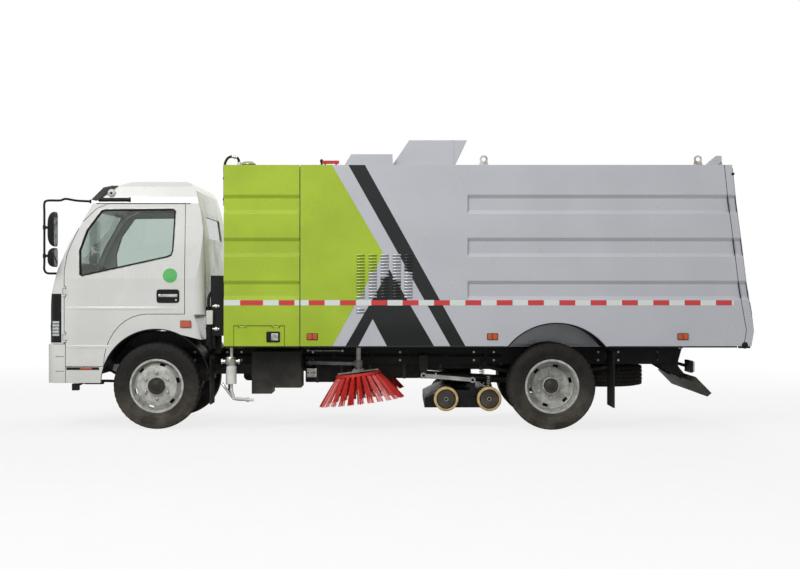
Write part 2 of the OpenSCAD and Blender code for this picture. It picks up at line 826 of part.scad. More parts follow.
module steering_wheel() {
    color("#1d1d1d") at_front_axle() {
        translate(steering_hub) rotate([0, 38, 0]) {
            rotate_extrude() translate([205, 0]) circle(14, $fn = 32);
            cylinder(h = 30, r = 55, center = true);
            for (a = [30, 150, 270])
                rotate([0, 0, a]) translate([0, -16, -8]) cube([200, 32, 14]);
        }
        bar(steering_hub, steering_foot, steering_column_r);
    }
}

// Base and back of the seats: (middle, half width)
module seats() {
    color("#3b3c3e") at_front_axle() for (s = [[-460, 240], [330, 380]]) {
        translate([0, s[0], 0]) {
            across(-s[1], s[1]) offset(r = 30, $fn = 32) offset(delta = -30)
                polygon([[-270, 1110], [240, 1060], [260, 1230], [-260, 1270]]);
            across(-s[1] + 10, s[1] - 10) offset(r = 30, $fn = 32) offset(delta = -30)
                polygon([[150, 1235], [290, 1215], [400, 1840], [280, 1860]]);
            box([-220, -s[1] + 40, cab_floor_z], [220, s[1] - 40, 1120]);
        }
    }
}

// ---- front module ----

// Long pressed grooves in both side walls, from x0 to x1
module side_grooves(x0, x1) {
    for (i = [0:2])
        both_sides() along(x0, x1)
            polygon([[-body_w / 2 - 1, groove_z - i * groove_pitch - 1],
                [-body_w / 2, groove_z - i * groove_pitch],
                [-body_w / 2 + groove_depth, groove_z - i * groove_pitch + 36],
                [-body_w / 2 + groove_depth, groove_z - i * groove_pitch + groove_h - 34],
                [-body_w / 2, groove_z - i * groove_pitch + groove_h],
                [-body_w / 2 - 1, groove_z - i * groove_pitch + groove_h + 1]]);
}

// Closed cabinet for the sweeper's own engine, with a hatch low on each side
module front_module() {
    w = body_wall;
    half = body_w / 2;
    color("#a3be37") {
        difference() {
            box([module_x, -half, body_floor_z], [module_x + module_len, half, roof_z]);
            box([module_x + w, -half + w, body_floor_z + w],
                [module_x + module_len - w, half - w, roof_z - w]);
            side_grooves(module_x - 1, module_x + module_len + 1);
            both_sides() box([hatch_x - 5, -half - 1, body_floor_z - 1],
                [hatch_x + hatch_w + 5, -half + hatch_t + 5, body_floor_z + hatch_h + 9]);
            both_sides() box([hatch_x + 30, -half, body_floor_z + w],
                [hatch_x + hatch_w - 30, -half + w + 1, body_floor_z + hatch_h - 24]);
        }
        both_sides() for (x = [hatch_x + 60, hatch_x + hatch_w - 100]) {
            bar([x - 12, -half + 6, body_floor_z + hatch_h - 6],
                [x + 52, -half + 6, body_floor_z + hatch_h - 6], hatch_pin_r);
            for (dx = [-12, 42])
                box([x + dx, -half, body_floor_z + hatch_h - 12],
                    [x + dx + 10, -half + 14, body_floor_z + hatch_h + 11]);
        }
        // feet down to the frame
        for (x = [module_x + 60, module_x + module_len - 120])
            both_sides() box([x, -rail_y, rail_top], [x + 60, -rail_y + rail_flange, body_floor_z]);
    }
}

module hatch() {
    half = body_w / 2;
    color("#a3be37") {
        difference() {
            box([hatch_x, -half, body_floor_z], [hatch_x + hatch_w, -half + hatch_t,
                body_floor_z + hatch_h]);
            for (x = [hatch_x + 60, hatch_x + hatch_w - 100])
                box([x - 18, -half - 1, body_floor_z + hatch_h - 18],
                    [x + 58, -half + hatch_t + 1, body_floor_z + hatch_h + 1]);
        }
        for (x = [hatch_x + 60, hatch_x + hatch_w - 100])
            difference() {
                union() {
                    bar([x, -half + 6, body_floor_z + hatch_h - 6],
                        [x + 40, -half + 6, body_floor_z + hatch_h - 6], hatch_pin_r + 5);
                    box([x, -half + 1, body_floor_z + hatch_h - 22],
                        [x + 40, -half + 11, body_floor_z + hatch_h - 10]);
                }
                bar([x - 1, -half + 6, body_floor_z + hatch_h - 6],
                    [x + 41, -half + 6, body_floor_z + hatch_h - 6], hatch_pin_r + fit_gap);
            }
    }
}

module hatch_left() { hatch(); }
module hatch_right() { on_side(1) hatch(); }

module sweeper_engine() {
    color("#5a5f60") box([module_x + 110, -360, body_floor_z + body_wall],
        [module_x + module_len - 110, 360, body_floor_z + 760]);
}

// ---- tipping body ----

// Rear line of the body: (distance ahead of the rear end, height above the floor)
rear_line = [[25, 0], [0, 149], [45, 411], [76, 602], [129, 1034], [175, 1380], [210, body_h]];

module rear_slab(ahead_0, ahead_1) {
    near = [for (p = rear_line) [rear_x - p[0] - ahead_0, body_floor_z + p[1]]];
    far = [for (i = [len(rear_line) - 1:-1:0])
        [rear_x - rear_line[i][0] - ahead_1, body_floor_z + rear_line[i][1]]];
    polygon(concat(near, far));
}

module rear_arches(r, inner_y) {
    both_sides() cross_pin(rear_axle_x + 38, axle_z + 12, -body_w, -inner_y, r, $fn = 96);
}

module hopper_shell() {
    w = body_wall;
    half = body_w / 2;
    rear_gap = rear_door_t + 6;
    arch_inner = rear_wheel_y - twin_spacing - 150;
    color("#b7b9bd") {
        difference() {
            across(-half, half) polygon(concat([[hopper_x, roof_z], [hopper_x, body_floor_z]],
                [for (p = rear_line) [rear_x - p[0] - rear_gap, body_floor_z + p[1]]]));
            // hopper space, open at the rear
            difference() {
                box([bay_end_x + w, -half + w, body_floor_z + w], [rear_x, half - w, roof_z - w]);
                rear_arches(rear_arch_r + w, arch_inner - w);
            }
            // fan bay with its air outlet in the roof
            box([hopper_x + w, -half + w, body_floor_z + w], [bay_end_x, half - w, roof_z - w]);
            box([hopper_x + 1100, -400, roof_z - w - 1], [hopper_x + 1380, 400, roof_z + 1]);
            rear_arches(rear_arch_r, arch_inner);
            side_grooves(rear_axle_x - 812, rear_x);
        }
        // long sills over the rails, with the tipping eyes behind
        both_sides() {
            box([hopper_x, -rail_y + 5, body_floor_z - sill_h],
                [tilt_pivot[0] - 60, -rail_y + 5 + sill_w, body_floor_z]);
            difference() {
                union() {
                    across(-rail_y - 58, -rail_y - 22)
                        polygon([[tilt_pivot[0] - 90, body_floor_z], [tilt_pivot[0] - 20, tilt_pivot[1] - 20],
                            [tilt_pivot[0] + 20, tilt_pivot[1] - 20], [tilt_pivot[0] + 90, body_floor_z]]);
                    cross_pin(tilt_pivot[0], tilt_pivot[1] - 2, -rail_y - 58, -rail_y - 22,
                        tilt_lug_r - 3);
                }
                cross_pin(tilt_pivot[0], tilt_pivot[1], -rail_y - 80, -rail_y, tilt_pin_r + fit_gap);
            }
            // lugs of a tipping cylinder's eye, with a pin stub in each
            for (y = [-cylinder_y - 48, -cylinder_y + 34])
                across(y, y + 14)
                    polygon([[rod_eye[0] - 60, body_floor_z], [rod_eye[0] - 22, rod_eye[1] - 24],
                        [rod_eye[0] + 22, rod_eye[1] - 24], [rod_eye[0] + 60, body_floor_z]]);
            for (y = [-cylinder_y - 48, -cylinder_y + rod_r + 1])
                cross_pin(rod_eye[0], rod_eye[1], y, y + 47 - rod_r, cylinder_pin_r);
        }
        // hinge lugs of the rear door
        for (y = [-700, 700])
            for (dy = [-40, 24])
                across(y + dy, y + dy + 16)
                    polygon([[rear_hinge[0] - 160, roof_z], [rear_hinge[0] - 26, rear_hinge[1] + 26],
                        [rear_hinge[0] + 26, rear_hinge[1] + 26],
                        [rear_hinge[0] + 26, rear_hinge[1] - 26], [rear_hinge[0] - 30, roof_z]]);
        for (y = [-700, 700])
            cross_pin(rear_hinge[0], rear_hinge[1], y - 40, y + 40, rear_pin_r);
    }
}

module rear_door() {
    half = body_w / 2;
    color("#b7b9bd") {
        difference() {
            across(-half, half) rear_slab(0, rear_door_t);
            side_grooves(rear_axle_x, rear_x + 1);
        }
        for (y = [-700, 700])
            difference() {
                union() {
                    across(y - 16, y + 16)
                        polygon([[rear_x - 210 - rear_door_t + 4, roof_z - 2],
                            [rear_hinge[0] - 24, rear_hinge[1]], [rear_hinge[0] + 24, rear_hinge[1]],
                            [rear_x - 210 - 4, roof_z - 2]]);
                    cross_pin(rear_hinge[0], rear_hinge[1], y - 16, y + 16, 24);
                }
                cross_pin(rear_hinge[0], rear_hinge[1], y - 30, y + 30, rear_pin_r + fit_gap);
            }
    }
}

// Low transition duct in front and a hood that blows to the rear
module roof_ducts() {
    hood_x = hopper_x + 882;
    duct_x = hopper_x + 385;
    wall = 14;
    color("#b7b9bd") {
        across(-650, 650)
            polygon([[duct_x, roof_z], [duct_x + 85, roof_z + 139], [duct_x + 490, roof_z + 139],
                [duct_x + 490, roof_z]]);
        difference() {
            across(-560, 560)
                polygon([[hood_x, roof_z], [hood_x, roof_z + 50], [hood_x + 157, roof_z + 284],
                    [hood_x + 729, roof_z + 284], [hood_x + 588, roof_z]]);
            across(-560 + wall, 560 - wall)
                polygon([[hood_x + wall, roof_z - 1], [hood_x + wall, roof_z + 46],
                    [hood_x + 157 + wall / 2, roof_z + 284 - wall], [hood_x + 900, roof_z + 284 - wall],
                    [hood_x + 900, roof_z - 1]]);
        }
    }
}

module lifting_eyes() {
    color("#8c8f90") for (x = [hopper_x + 1751, hopper_x + 3800])
        both_sides() difference() {
            union() {
                across(-body_w / 2 + 60, -body_w / 2 + 76)
                    polygon([[x - 45, roof_z], [x - 30, roof_z + 62], [x + 30, roof_z + 62],
                        [x + 45, roof_z]]);
                cross_pin(x, roof_z + 58, -body_w / 2 + 60, -body_w / 2 + 76, 38);
            }
            cross_pin(x, roof_z + 58, -body_w / 2 + 50, -body_w / 2 + 90, 20);
        }
}

cylinder_dir = atan2(rod_eye[1] - barrel_foot[1], rod_eye[0] - barrel_foot[0]);
cylinder_len = norm(rod_eye - barrel_foot);

// Lays its children, drawn along +X from the foot pin, along the cylinder's axis
module along_cylinder() {
    translate([barrel_foot[0], 0, barrel_foot[1]]) rotate([0, -cylinder_dir, 0]) children();
}

module tilt_barrels() {
    color("#2c2c2c") both_sides() along_cylinder() translate([0, -cylinder_y, 0]) difference() {
        union() {
            translate([cylinder_len - 90 - 700, 0, 0]) rotate([0, 90, 0])
                cylinder(h = 700, r = barrel_r);
            rotate([90, 0, 0]) cylinder(h = 60, r = 38, center = true);
            translate([0, -24, -30]) cube([cylinder_len - 90 - 690, 48, 60]);
        }
        rotate([90, 0, 0]) cylinder(h = 80, r = cylinder_pin_r + fit_gap, center = true);
        translate([120, 0, 0]) rotate([0, 90, 0]) cylinder(h = cylinder_len, r = rod_r + fit_gap);
    }
}

module tilt_rods() {
    color("silver") both_sides() along_cylinder() translate([0, -cylinder_y, 0]) difference() {
        union() {
            translate([130, 0, 0]) rotate([0, 90, 0]) cylinder(h = cylinder_len - 150, r = rod_r);
            translate([cylinder_len, 0, 0]) rotate([90, 0, 0]) cylinder(h = 34, r = 32, center = true);
        }
        translate([cylinder_len, 0, 0]) rotate([90, 0, 0])
            cylinder(h = 80, r = cylinder_pin_r + fit_gap, center = true);
    }
}

// ---- side brushes, drawn on the -Y side ----

// Arm from the frame's post to the guide of the brush head's column
module brush_arm() {
    dx = brush_x - brush_pivot_x;
    dy = brush_y - brush_pivot_y;
    len = norm([dx, dy]);
    color("#6d7073") translate([brush_pivot_x, -brush_pivot_y, brush_arm_z - 24])
        rotate([0, 0, atan2(-dy, dx)]) difference() {
            union() {
                cylinder(h = 40, r = 42);
                translate([0, -36, 4]) cube([len, 72, 32]);
                translate([len, 0, -16]) cylinder(h = 72, r = 40);
            }
            translate([0, 0, -1]) cylinder(h = 42, r = brush_pin_r + fit_gap);
            translate([len, 0, -30]) cylinder(h = 110, r = brush_post_r + fit_gap);
        }
}

// Column that slides in the arm, with the tilted motor under it
module brush_head() {
    color("#8a8d90") translate([brush_x, -brush_y, 0]) {
        translate([0, 0, brush_z + 36]) cylinder(h = brush_post_top - brush_z - 36, r = brush_post_r);
        translate([0, 0, brush_z]) rotate([0, -brush_tilt, 0]) {
            translate([0, 0, 22]) cylinder(h = 30, r = 62);
            translate([-200, -50, 22]) cube([400, 100, 12]);
            cylinder(h = 30, r = 14);
        }
    }
}

// Disc and bristle skirt
module brush() {
    color("#d8302a") translate([brush_x, -brush_y, brush_z]) rotate([0, -brush_tilt, 0]) {
        rotate_extrude() polygon([[14 + fit_gap, -20], [brush_disc_r - 60, -20],
            [brush_r - 48, -272], [brush_r, -272], [brush_disc_r, -6], [brush_disc_r, 16],
            [14 + fit_gap, 16]]);
    }
}

module brush_arm_left() { brush_arm(); }
module brush_arm_right() { on_side(1) brush_arm(); }
module brush_head_left() { brush_head(); }
module brush_head_right() { on_side(1) brush_head(); }
module brush_left() { brush(); }
module brush_right() { on_side(1) brush(); }

// ---- suction head ----

// Two trailing links between the frame's hangers and the head's ears
module suction_links() {
    color("#b9babb") {
        both_sides() difference() {
            union() {
                across(-link_y - 12, -link_y + 12)
                    polygon([[link_pivot[0], link_pivot[1] - 19], [link_eye[0], link_eye[1] - 19],
                        [link_eye[0], link_eye[1] + 19], [link_pivot[0], link_pivot[1] + 19]]);
                for (p = [link_pivot, link_eye])
                    cross_pin(p[0], p[1], -link_y - 12, -link_y + 12, 28);
            }
            for (p = [link_pivot, link_eye])
                cross_pin(p[0], p[1], -link_y - 40, -link_y + 40, link_pin_r + fit_gap);
        }
    }
}

// Box with an open mouth, on four castors, and the collar round the hose
module suction_box() {
    half = 690;
    x0 = rear_axle_x - 1217;
    x1 = rear_axle_x - 497;
    low = head_lift + 30;
    top = 360;
    color("#17181a") {
        difference() {
            across(-half, half) polygon([[x0, low], [x0, low + 90], [x0 + 160, top], [x1 - 120, top],
                [x1, low + 90], [x1, low]]);
            across(-half + 20, half - 20) polygon([[x0 + 20, low - 1], [x0 + 20, low + 82],
                [x0 + 168, top - 20], [x1 - 128, top - 20], [x1 - 20, low + 82], [x1 - 20, low - 1]]);
            translate([hose_x, hose_y, low]) cylinder(h = reach, r = hose_r + 52);
        }
        difference() {
            translate([hose_x, hose_y, top - 20]) cylinder(h = 190, r = hose_r + 66);
            translate([hose_x, hose_y, low]) cylinder(h = reach, r = hose_r + 52);
        }
        both_sides() {
            // ears that hang on the links' eyes
            across(-link_y + 18, -half + 2)
                polygon([[link_eye[0] - 30, 300], [link_eye[0] + 30, 300],
                    [link_eye[0] + 24, link_eye[1] + 24], [link_eye[0] - 24, link_eye[1] + 24]]);
            cross_pin(link_eye[0], link_eye[1], -link_y - 16, -link_y + 20, link_pin_r);
            // castor spindles
            for (x = castor_x)
                cross_pin(x, head_lift + castor_r, -castor_y - 26, -half + 10, 15);
        }
    }
}

module suction_hose() {
    color("#1a1a1a") {
        translate([hose_x, hose_y, hose_z]) difference() {
            cylinder(h = body_floor_z - 12 - hose_z, r = hose_r);
            translate([0, 0, -1]) cylinder(h = body_floor_z, r = hose_r - 8);
        }
        box([hose_x - 30, rail_y, rail_z + 60], [hose_x + 30, hose_y - hose_r + 4, rail_z + 90]);
    }
}

module castor(x) {
    color("#d2b873") translate([x, -castor_y, head_lift + castor_r]) rotate([90, 0, 0])
        difference() {
            rotate_extrude() polygon([[15 + fit_gap, -24], [castor_r - 40, -24],
                [castor_r - 36, -castor_w / 2], [castor_r - 6, -castor_w / 2],
                [castor_r, -castor_w / 2 + 8], [castor_r, castor_w / 2 - 8],
                [castor_r - 6, castor_w / 2], [castor_r - 36, castor_w / 2], [castor_r - 40, 24],
                [15 + fit_gap, 24]]);
        }
}

module castor_front_left() { castor(castor_x[0]); }
module castor_front_right() { on_side(1) castor(castor_x[0]); }
module castor_rear_left() { castor(castor_x[1]); }
module castor_rear_right() { on_side(1) castor(castor_x[1]); }

chassis_frame();
front_axle();
rear_axle();
leaf_springs();
driveline();
engine_block();
fuel_tank();
battery_box();
front_module();
sweeper_engine();
mud_flaps();
spare_wheel();
underrun_bar();
water_filter();
intake_snorkel();
suction_hose();
knuckle_left();
knuckle_right();
front_rim_left();
front_rim_right();
front_tyre_left();
front_tyre_right();
rear_rims_left();
rear_rims_right();
rear_tyres_left();
rear_tyres_right();
cab_shell();
bumper();
windscreen();
cab_rear_window();
headlights();
roof_visor();
mirrors();
dashboard();
steering_wheel();
seats();
door_left();
door_right();
door_glass_left();
door_glass_right();
hatch_left();
hatch_right();
hopper_shell();
roof_ducts();
lifting_eyes();
rear_door();
tilt_barrels();
tilt_rods();
brush_arm_left();
brush_arm_right();
brush_head_left();
brush_head_right();
brush_left();
brush_right();
suction_links();
suction_box();
castor_front_left();
castor_front_right();
castor_rear_left();
castor_rear_right();
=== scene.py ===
"""The street sweeper truck's looks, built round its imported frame.

Metres. -X is forwards and -Y the driver's side.
"""
import json
import math
import random

import bmesh
import bpy
from mathutils import Matrix, Vector


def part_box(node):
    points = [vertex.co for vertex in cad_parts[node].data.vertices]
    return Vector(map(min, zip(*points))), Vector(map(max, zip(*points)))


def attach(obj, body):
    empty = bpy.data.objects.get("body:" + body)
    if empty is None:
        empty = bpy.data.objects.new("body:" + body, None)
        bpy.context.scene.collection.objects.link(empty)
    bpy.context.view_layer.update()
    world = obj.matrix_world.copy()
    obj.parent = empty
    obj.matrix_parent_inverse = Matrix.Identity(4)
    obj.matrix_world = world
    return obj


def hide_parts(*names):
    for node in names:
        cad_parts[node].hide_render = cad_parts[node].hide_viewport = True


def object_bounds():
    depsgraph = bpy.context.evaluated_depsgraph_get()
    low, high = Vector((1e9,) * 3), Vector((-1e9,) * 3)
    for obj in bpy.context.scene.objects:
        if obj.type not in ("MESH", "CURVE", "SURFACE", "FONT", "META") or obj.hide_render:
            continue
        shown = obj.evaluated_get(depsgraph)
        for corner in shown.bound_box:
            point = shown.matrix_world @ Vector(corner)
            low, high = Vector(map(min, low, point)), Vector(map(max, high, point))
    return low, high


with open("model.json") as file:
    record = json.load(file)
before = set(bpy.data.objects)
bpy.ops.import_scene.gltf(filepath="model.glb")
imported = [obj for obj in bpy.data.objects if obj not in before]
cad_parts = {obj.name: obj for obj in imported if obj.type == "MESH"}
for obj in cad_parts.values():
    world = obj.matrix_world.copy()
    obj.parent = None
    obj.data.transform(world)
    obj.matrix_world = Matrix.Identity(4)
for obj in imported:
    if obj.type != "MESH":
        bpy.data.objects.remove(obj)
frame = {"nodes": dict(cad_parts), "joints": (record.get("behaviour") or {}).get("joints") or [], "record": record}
CAD_BOX = [list(corner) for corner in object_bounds()]
NODES = frame["nodes"]
random.seed(20)

# ---------------------------------------------------------------- shader tools


def to_linear(hex_colour):
    """An sRGB hex colour as linear RGBA."""
    parts = [int(hex_colour[i:i + 2], 16) / 255 for i in (1, 3, 5)]
    return [c / 12.92 if c <= 0.04045 else ((c + 0.055) / 1.055) ** 2.4 for c in parts] + [1.0]


def per_mm(size):
    """A texture scale whose pattern repeats about every so many millimetres."""
    return 1000 / size


def add(tree, kind, sockets=None, **settings):
    """Adds a shader node with its settings, and links or sets its sockets."""
    node = tree.nodes.new("ShaderNode" + kind)
    for key, value in settings.items():
        setattr(node, key, value)
    for key, value in (sockets or {}).items():
        if isinstance(value, bpy.types.Node):
            value = value.outputs[0]
        if isinstance(value, bpy.types.NodeSocket):
            tree.links.new(value, node.inputs[key])
        else:
            node.inputs[key].default_value = value
    return node


def start_material(name, **values):
    """A material with its shader, whose plain values are set on its own sockets."""
    material = bpy.data.materials.new(name)
    material.use_nodes = True
    tree = material.node_tree
    tree.nodes.clear()
    shader = add(tree, "BsdfPrincipled", {key.replace("_", " "): value for key, value in values.items()})
    add(tree, "OutputMaterial", {"Surface": shader})
    where = add(tree, "TexCoord").outputs["Object"]
    return material, tree, shader, where


def share(tree, value, low, high, to_low=0.0, to_high=1.0):
    """The value's place between low and high, as a smooth share."""
    return add(tree, "MapRange", {"Value": value, "From Min": low, "From Max": high, "To Min": to_low,
                                  "To Max": to_high}, interpolation_type="SMOOTHSTEP")


def clouded(tree, where, light, dark, size_mm, detail=4.0):
    """A colour that drifts between two shades, as paint, rubber and plastic do."""
    cloud = add(tree, "TexNoise", {"Vector": where, "Scale": per_mm(size_mm), "Detail": detail})
    return add(tree, "MixRGB", {"Fac": share(tree, cloud, 0.32, 0.68), "Color1": to_linear(dark),
                                "Color2": to_linear(light)})


def dusted(tree, where, colour, top, amount, dust="#8d8577"):
    """Road dust that fades out at height top, in patches."""
    height = add(tree, "SeparateXYZ", {"Vector": where}).outputs["Z"]
    patches = add(tree, "TexNoise", {"Vector": where, "Scale": per_mm(160), "Detail": 6.0})
    low = share(tree, height, top, top * 0.15)
    film = add(tree, "Math", {0: low, 1: share(tree, patches, 0.30, 0.72, 0.25, 1.0)}, operation="MULTIPLY")
    thin = add(tree, "Math", {0: film, 1: amount}, operation="MULTIPLY")
    return add(tree, "MixRGB", {"Fac": thin, "Color1": colour, "Color2": to_linear(dust)})


def vary_roughness(tree, shader, mask, low, high, smooth_end, rough_end):
    """Runs the shader's roughness between two ends as the mask goes from low to high."""
    tree.links.new(share(tree, mask, low, high, smooth_end, rough_end).outputs[0], shader.inputs["Roughness"])


def relief(tree, height, depth_mm, edge_mm=0.0):
    """A bump of that depth, on a normal that rounds the part's edges."""
    sockets = {"Height": height, "Distance": depth_mm / 1000, "Strength": 1.0}
    if edge_mm:
        sockets["Normal"] = add(tree, "Bevel", {"Radius": edge_mm / 1000}, samples=4)
    return add(tree, "Bump", sockets)


def grain(tree, where, size_mm, detail=2.0):
    return add(tree, "TexNoise", {"Vector": where, "Scale": per_mm(size_mm), "Detail": detail})


# ---------------------------------------------------------------- finishes


def coach_enamel(name, light, dark, rough=0.24, dust_top=0.0, edge_mm=3.0):
    """Sprayed and stoved enamel on steel sheet: clear gloss, a faint orange peel, a drift of shade."""
    material, tree, shader, where = start_material(
        name, Metallic=0.0, IOR=1.5, Coat_Weight=0.35, Coat_Roughness=0.06)
    colour = clouded(tree, where, light, dark, 420)
    if dust_top:
        colour = dusted(tree, where, colour, dust_top, 0.22)
    tree.links.new(colour.outputs[0], shader.inputs["Base Color"])
    # orange peel is about 2 mm across, drawn at 9 mm so that it shows
    peel = grain(tree, where, 9)
    tree.links.new(relief(tree, peel, 0.05, edge_mm).outputs[0], shader.inputs["Normal"])
    haze = grain(tree, where, 260, 5.0)
    vary_roughness(tree, shader, haze, 0.3, 0.7, rough - 0.05, rough + 0.07)
    return material


def metallic_coach_paint(name, light, dark):
    """Base coat with fine aluminium flake under lacquer: silver grey, soft sheen, and lighter specks on the flake
    that are partly its own tone and partly painted sparkle.
    """
    material, tree, shader, where = start_material(
        name, Metallic=0.18, IOR=1.5, Coat_Weight=0.3, Coat_Roughness=0.1)
    base = clouded(tree, where, light, dark, 500)
    # flake is under 0.1 mm, drawn at 3 mm so that it shows
    flake = add(tree, "TexVoronoi", {"Vector": where, "Scale": per_mm(3)})
    # lighter specks: partly the flake's own tone, partly painted glint
    flake_tone_and_glint = share(tree, flake.outputs["Distance"], 0.0, 0.9, 0.06, 0.0)
    colour = add(tree, "MixRGB", {"Fac": flake_tone_and_glint, "Color1": base, "Color2": to_linear("#f2f4f6")})
    tree.links.new(dusted(tree, where, colour, 1.0, 0.10).outputs[0], shader.inputs["Base Color"])
    peel = grain(tree, where, 9)
    tree.links.new(relief(tree, peel, 0.05, 3.0).outputs[0], shader.inputs["Normal"])
    tree.links.new(share(tree, grain(tree, where, 300, 5.0), 0.3, 0.7, 0.27, 0.38).outputs[0],
                   shader.inputs["Roughness"])
    return material


def chassis_paint(name, light, dark, rough=0.5, dust=0.35):
    """Dipped black primer on rolled steel: satin, slightly pitted, with road dust low down."""
    material, tree, shader, where = start_material(name, Metallic=0.0, IOR=1.5)
    colour = dusted(tree, where, clouded(tree, where, light, dark, 90, 6.0), 0.8, dust)
    tree.links.new(colour.outputs[0], shader.inputs["Base Color"])
    pits = grain(tree, where, 6, 6.0)
    tree.links.new(relief(tree, pits, 0.25, 2.5).outputs[0], shader.inputs["Normal"])
    vary_roughness(tree, shader, pits, 0.3, 0.7, rough - 0.12, rough + 0.15)
    return material


def moulded_plastic(name, light, dark, rough=0.42, grain_mm=2.5, depth_mm=0.12):
    """Injection-moulded plastic with a spark-eroded texture: low sheen and an even, fine grain."""
    material, tree, shader, where = start_material(name, Metallic=0.0, IOR=1.48)
    tree.links.new(clouded(tree, where, light, dark, 130).outputs[0], shader.inputs["Base Color"])
    cells = add(tree, "TexVoronoi", {"Vector": where, "Scale": per_mm(grain_mm)})
    tree.links.new(relief(tree, cells.outputs["Distance"], depth_mm, 2.0).outputs[0], shader.inputs["Normal"])
    tree.links.new(share(tree, grain(tree, where, 70, 4.0), 0.3, 0.7, rough - 0.07, rough + 0.09).outputs[0],
                   shader.inputs["Roughness"])
    return material


def cured_rubber(name, light, dark, rough=0.68, dust=0.3):
    """Carbon-black rubber out of a press: matt, a little brown with bloom, dusty near the road."""
    material, tree, shader, where = start_material(name, Metallic=0.0, IOR=1.52)
    bloom = clouded(tree, where, light, dark, 60, 6.0)
    tree.links.new(dusted(tree, where, bloom, 0.6, dust).outputs[0], shader.inputs["Base Color"])
    skin = grain(tree, where, 4, 5.0)
    tree.links.new(relief(tree, skin, 0.2, 1.5).outputs[0], shader.inputs["Normal"])
    vary_roughness(tree, shader, skin, 0.3, 0.7, rough - 0.1, rough + 0.12)
    return material


def bare_metal(name, light, dark, rough=0.32, grain_mm=3.0, stain="#5d5348"):
    """Plated or turned steel left bare: bright with fine tool grain and a few dull stains."""
    material, tree, shader, where = start_material(name, Metallic=1.0)
    metal = clouded(tree, where, light, dark, 35, 5.0)
    stains = share(tree, grain(tree, where, 48, 8.0), 0.60, 0.78, 0.0, 0.55)
    colour = add(tree, "MixRGB", {"Fac": stains, "Color1": metal, "Color2": to_linear(stain)})
    tree.links.new(colour.outputs[0], shader.inputs["Base Color"])
    cut = grain(tree, where, grain_mm, 3.0)
    tree.links.new(relief(tree, cut, 0.06, 1.0).outputs[0], shader.inputs["Normal"])
    vary_roughness(tree, shader, cut, 0.3, 0.7, rough - 0.08, rough + 0.14)
    return material


def wheel_lacquer(name, light, dark):
    """Silver wheel lacquer over pressed steel: pale grey, half metallic, with brake dust in patches."""
    material, tree, shader, where = start_material(name, Metallic=0.35, IOR=1.5)
    base = clouded(tree, where, light, dark, 55, 5.0)
    grime = share(tree, grain(tree, where, 30, 8.0), 0.55, 0.8, 0.0, 0.35)
    colour = add(tree, "MixRGB", {"Fac": grime, "Color1": base, "Color2": to_linear("#6e6961")})
    tree.links.new(colour.outputs[0], shader.inputs["Base Color"])
    press = grain(tree, where, 7, 3.0)
    tree.links.new(relief(tree, press, 0.12, 2.5).outputs[0], shader.inputs["Normal"])
    vary_roughness(tree, shader, press, 0.3, 0.7, 0.3, 0.48)
    return material


def clear_glazing(name, tint, rough=0.02):
    """Tempered float glass: clear with a faint tint, wavy only by a hair, with a light film of dust."""
    material, tree, shader, where = start_material(
        name, Metallic=0.0, IOR=1.5, Transmission_Weight=1.0, Base_Color=to_linear(tint))
    wave = grain(tree, where, 400)
    tree.links.new(relief(tree, wave, 0.15).outputs[0], shader.inputs["Normal"])
    film = grain(tree, where, 180, 6.0)
    vary_roughness(tree, shader, film, 0.4, 0.8, rough, rough + 0.06)
    return material


def moulded_lens(name, colour, deep, flute_mm=6.0, transmission=0.25):
    """Moulded acrylic lens with small prisms inside: glowing colour, glossy skin, fine flutes."""
    material, tree, shader, where = start_material(
        name, Metallic=0.0, IOR=1.49, Transmission_Weight=transmission, Roughness=0.12, Coat_Weight=0.6,
        Coat_Roughness=0.03)
    flutes = add(tree, "TexWave", {"Vector": where, "Scale": per_mm(flute_mm) / 6.2, "Distortion": 0.0},
                 bands_direction="X")
    colours = add(tree, "MixRGB", {"Fac": flutes.outputs["Fac"], "Color1": to_linear(deep),
                                   "Color2": to_linear(colour)})
    tree.links.new(colours.outputs[0], shader.inputs["Base Color"])
    tree.links.new(relief(tree, flutes.outputs["Fac"], 0.5).outputs[0], shader.inputs["Normal"])
    return material


def marking_tape(name, colour, line):
    """Reflective marking tape: sealed 4 mm cells, drawn at 8 mm, under a glossy film."""
    material, tree, shader, where = start_material(
        name, Metallic=0.0, IOR=1.5, Roughness=0.28, Coat_Weight=0.5, Coat_Roughness=0.08)
    cells = add(tree, "TexVoronoi", {"Vector": where, "Scale": per_mm(8), "Randomness": 0.25},
                feature="DISTANCE_TO_EDGE")
    edge = share(tree, cells.outputs["Distance"], 0.02, 0.09)
    colours = add(tree, "MixRGB", {"Fac": edge, "Color1": to_linear(line), "Color2": to_linear(colour)})
    tree.links.new(colours.outputs[0], shader.inputs["Base Color"])
    tree.links.new(relief(tree, edge, 0.05).outputs[0], shader.inputs["Normal"])
    return material


def drawn_bristle(name, light, dark):
    """Drawn polypropylene bristle: saturated red with a waxy sheen, dirtier towards the road."""
    material, tree, shader, where = start_material(
        name, Metallic=0.0, IOR=1.49, Roughness=0.38, Subsurface_Weight=0.08)
    streaks = clouded(tree, where, light, dark, 14, 3.0)
    tree.links.new(dusted(tree, where, streaks, 0.34, 0.45, "#3b2a26").outputs[0],
                   shader.inputs["Base Color"])
    tree.links.new(relief(tree, grain(tree, where, 5), 0.2).outputs[0], shader.inputs["Normal"])
    return material


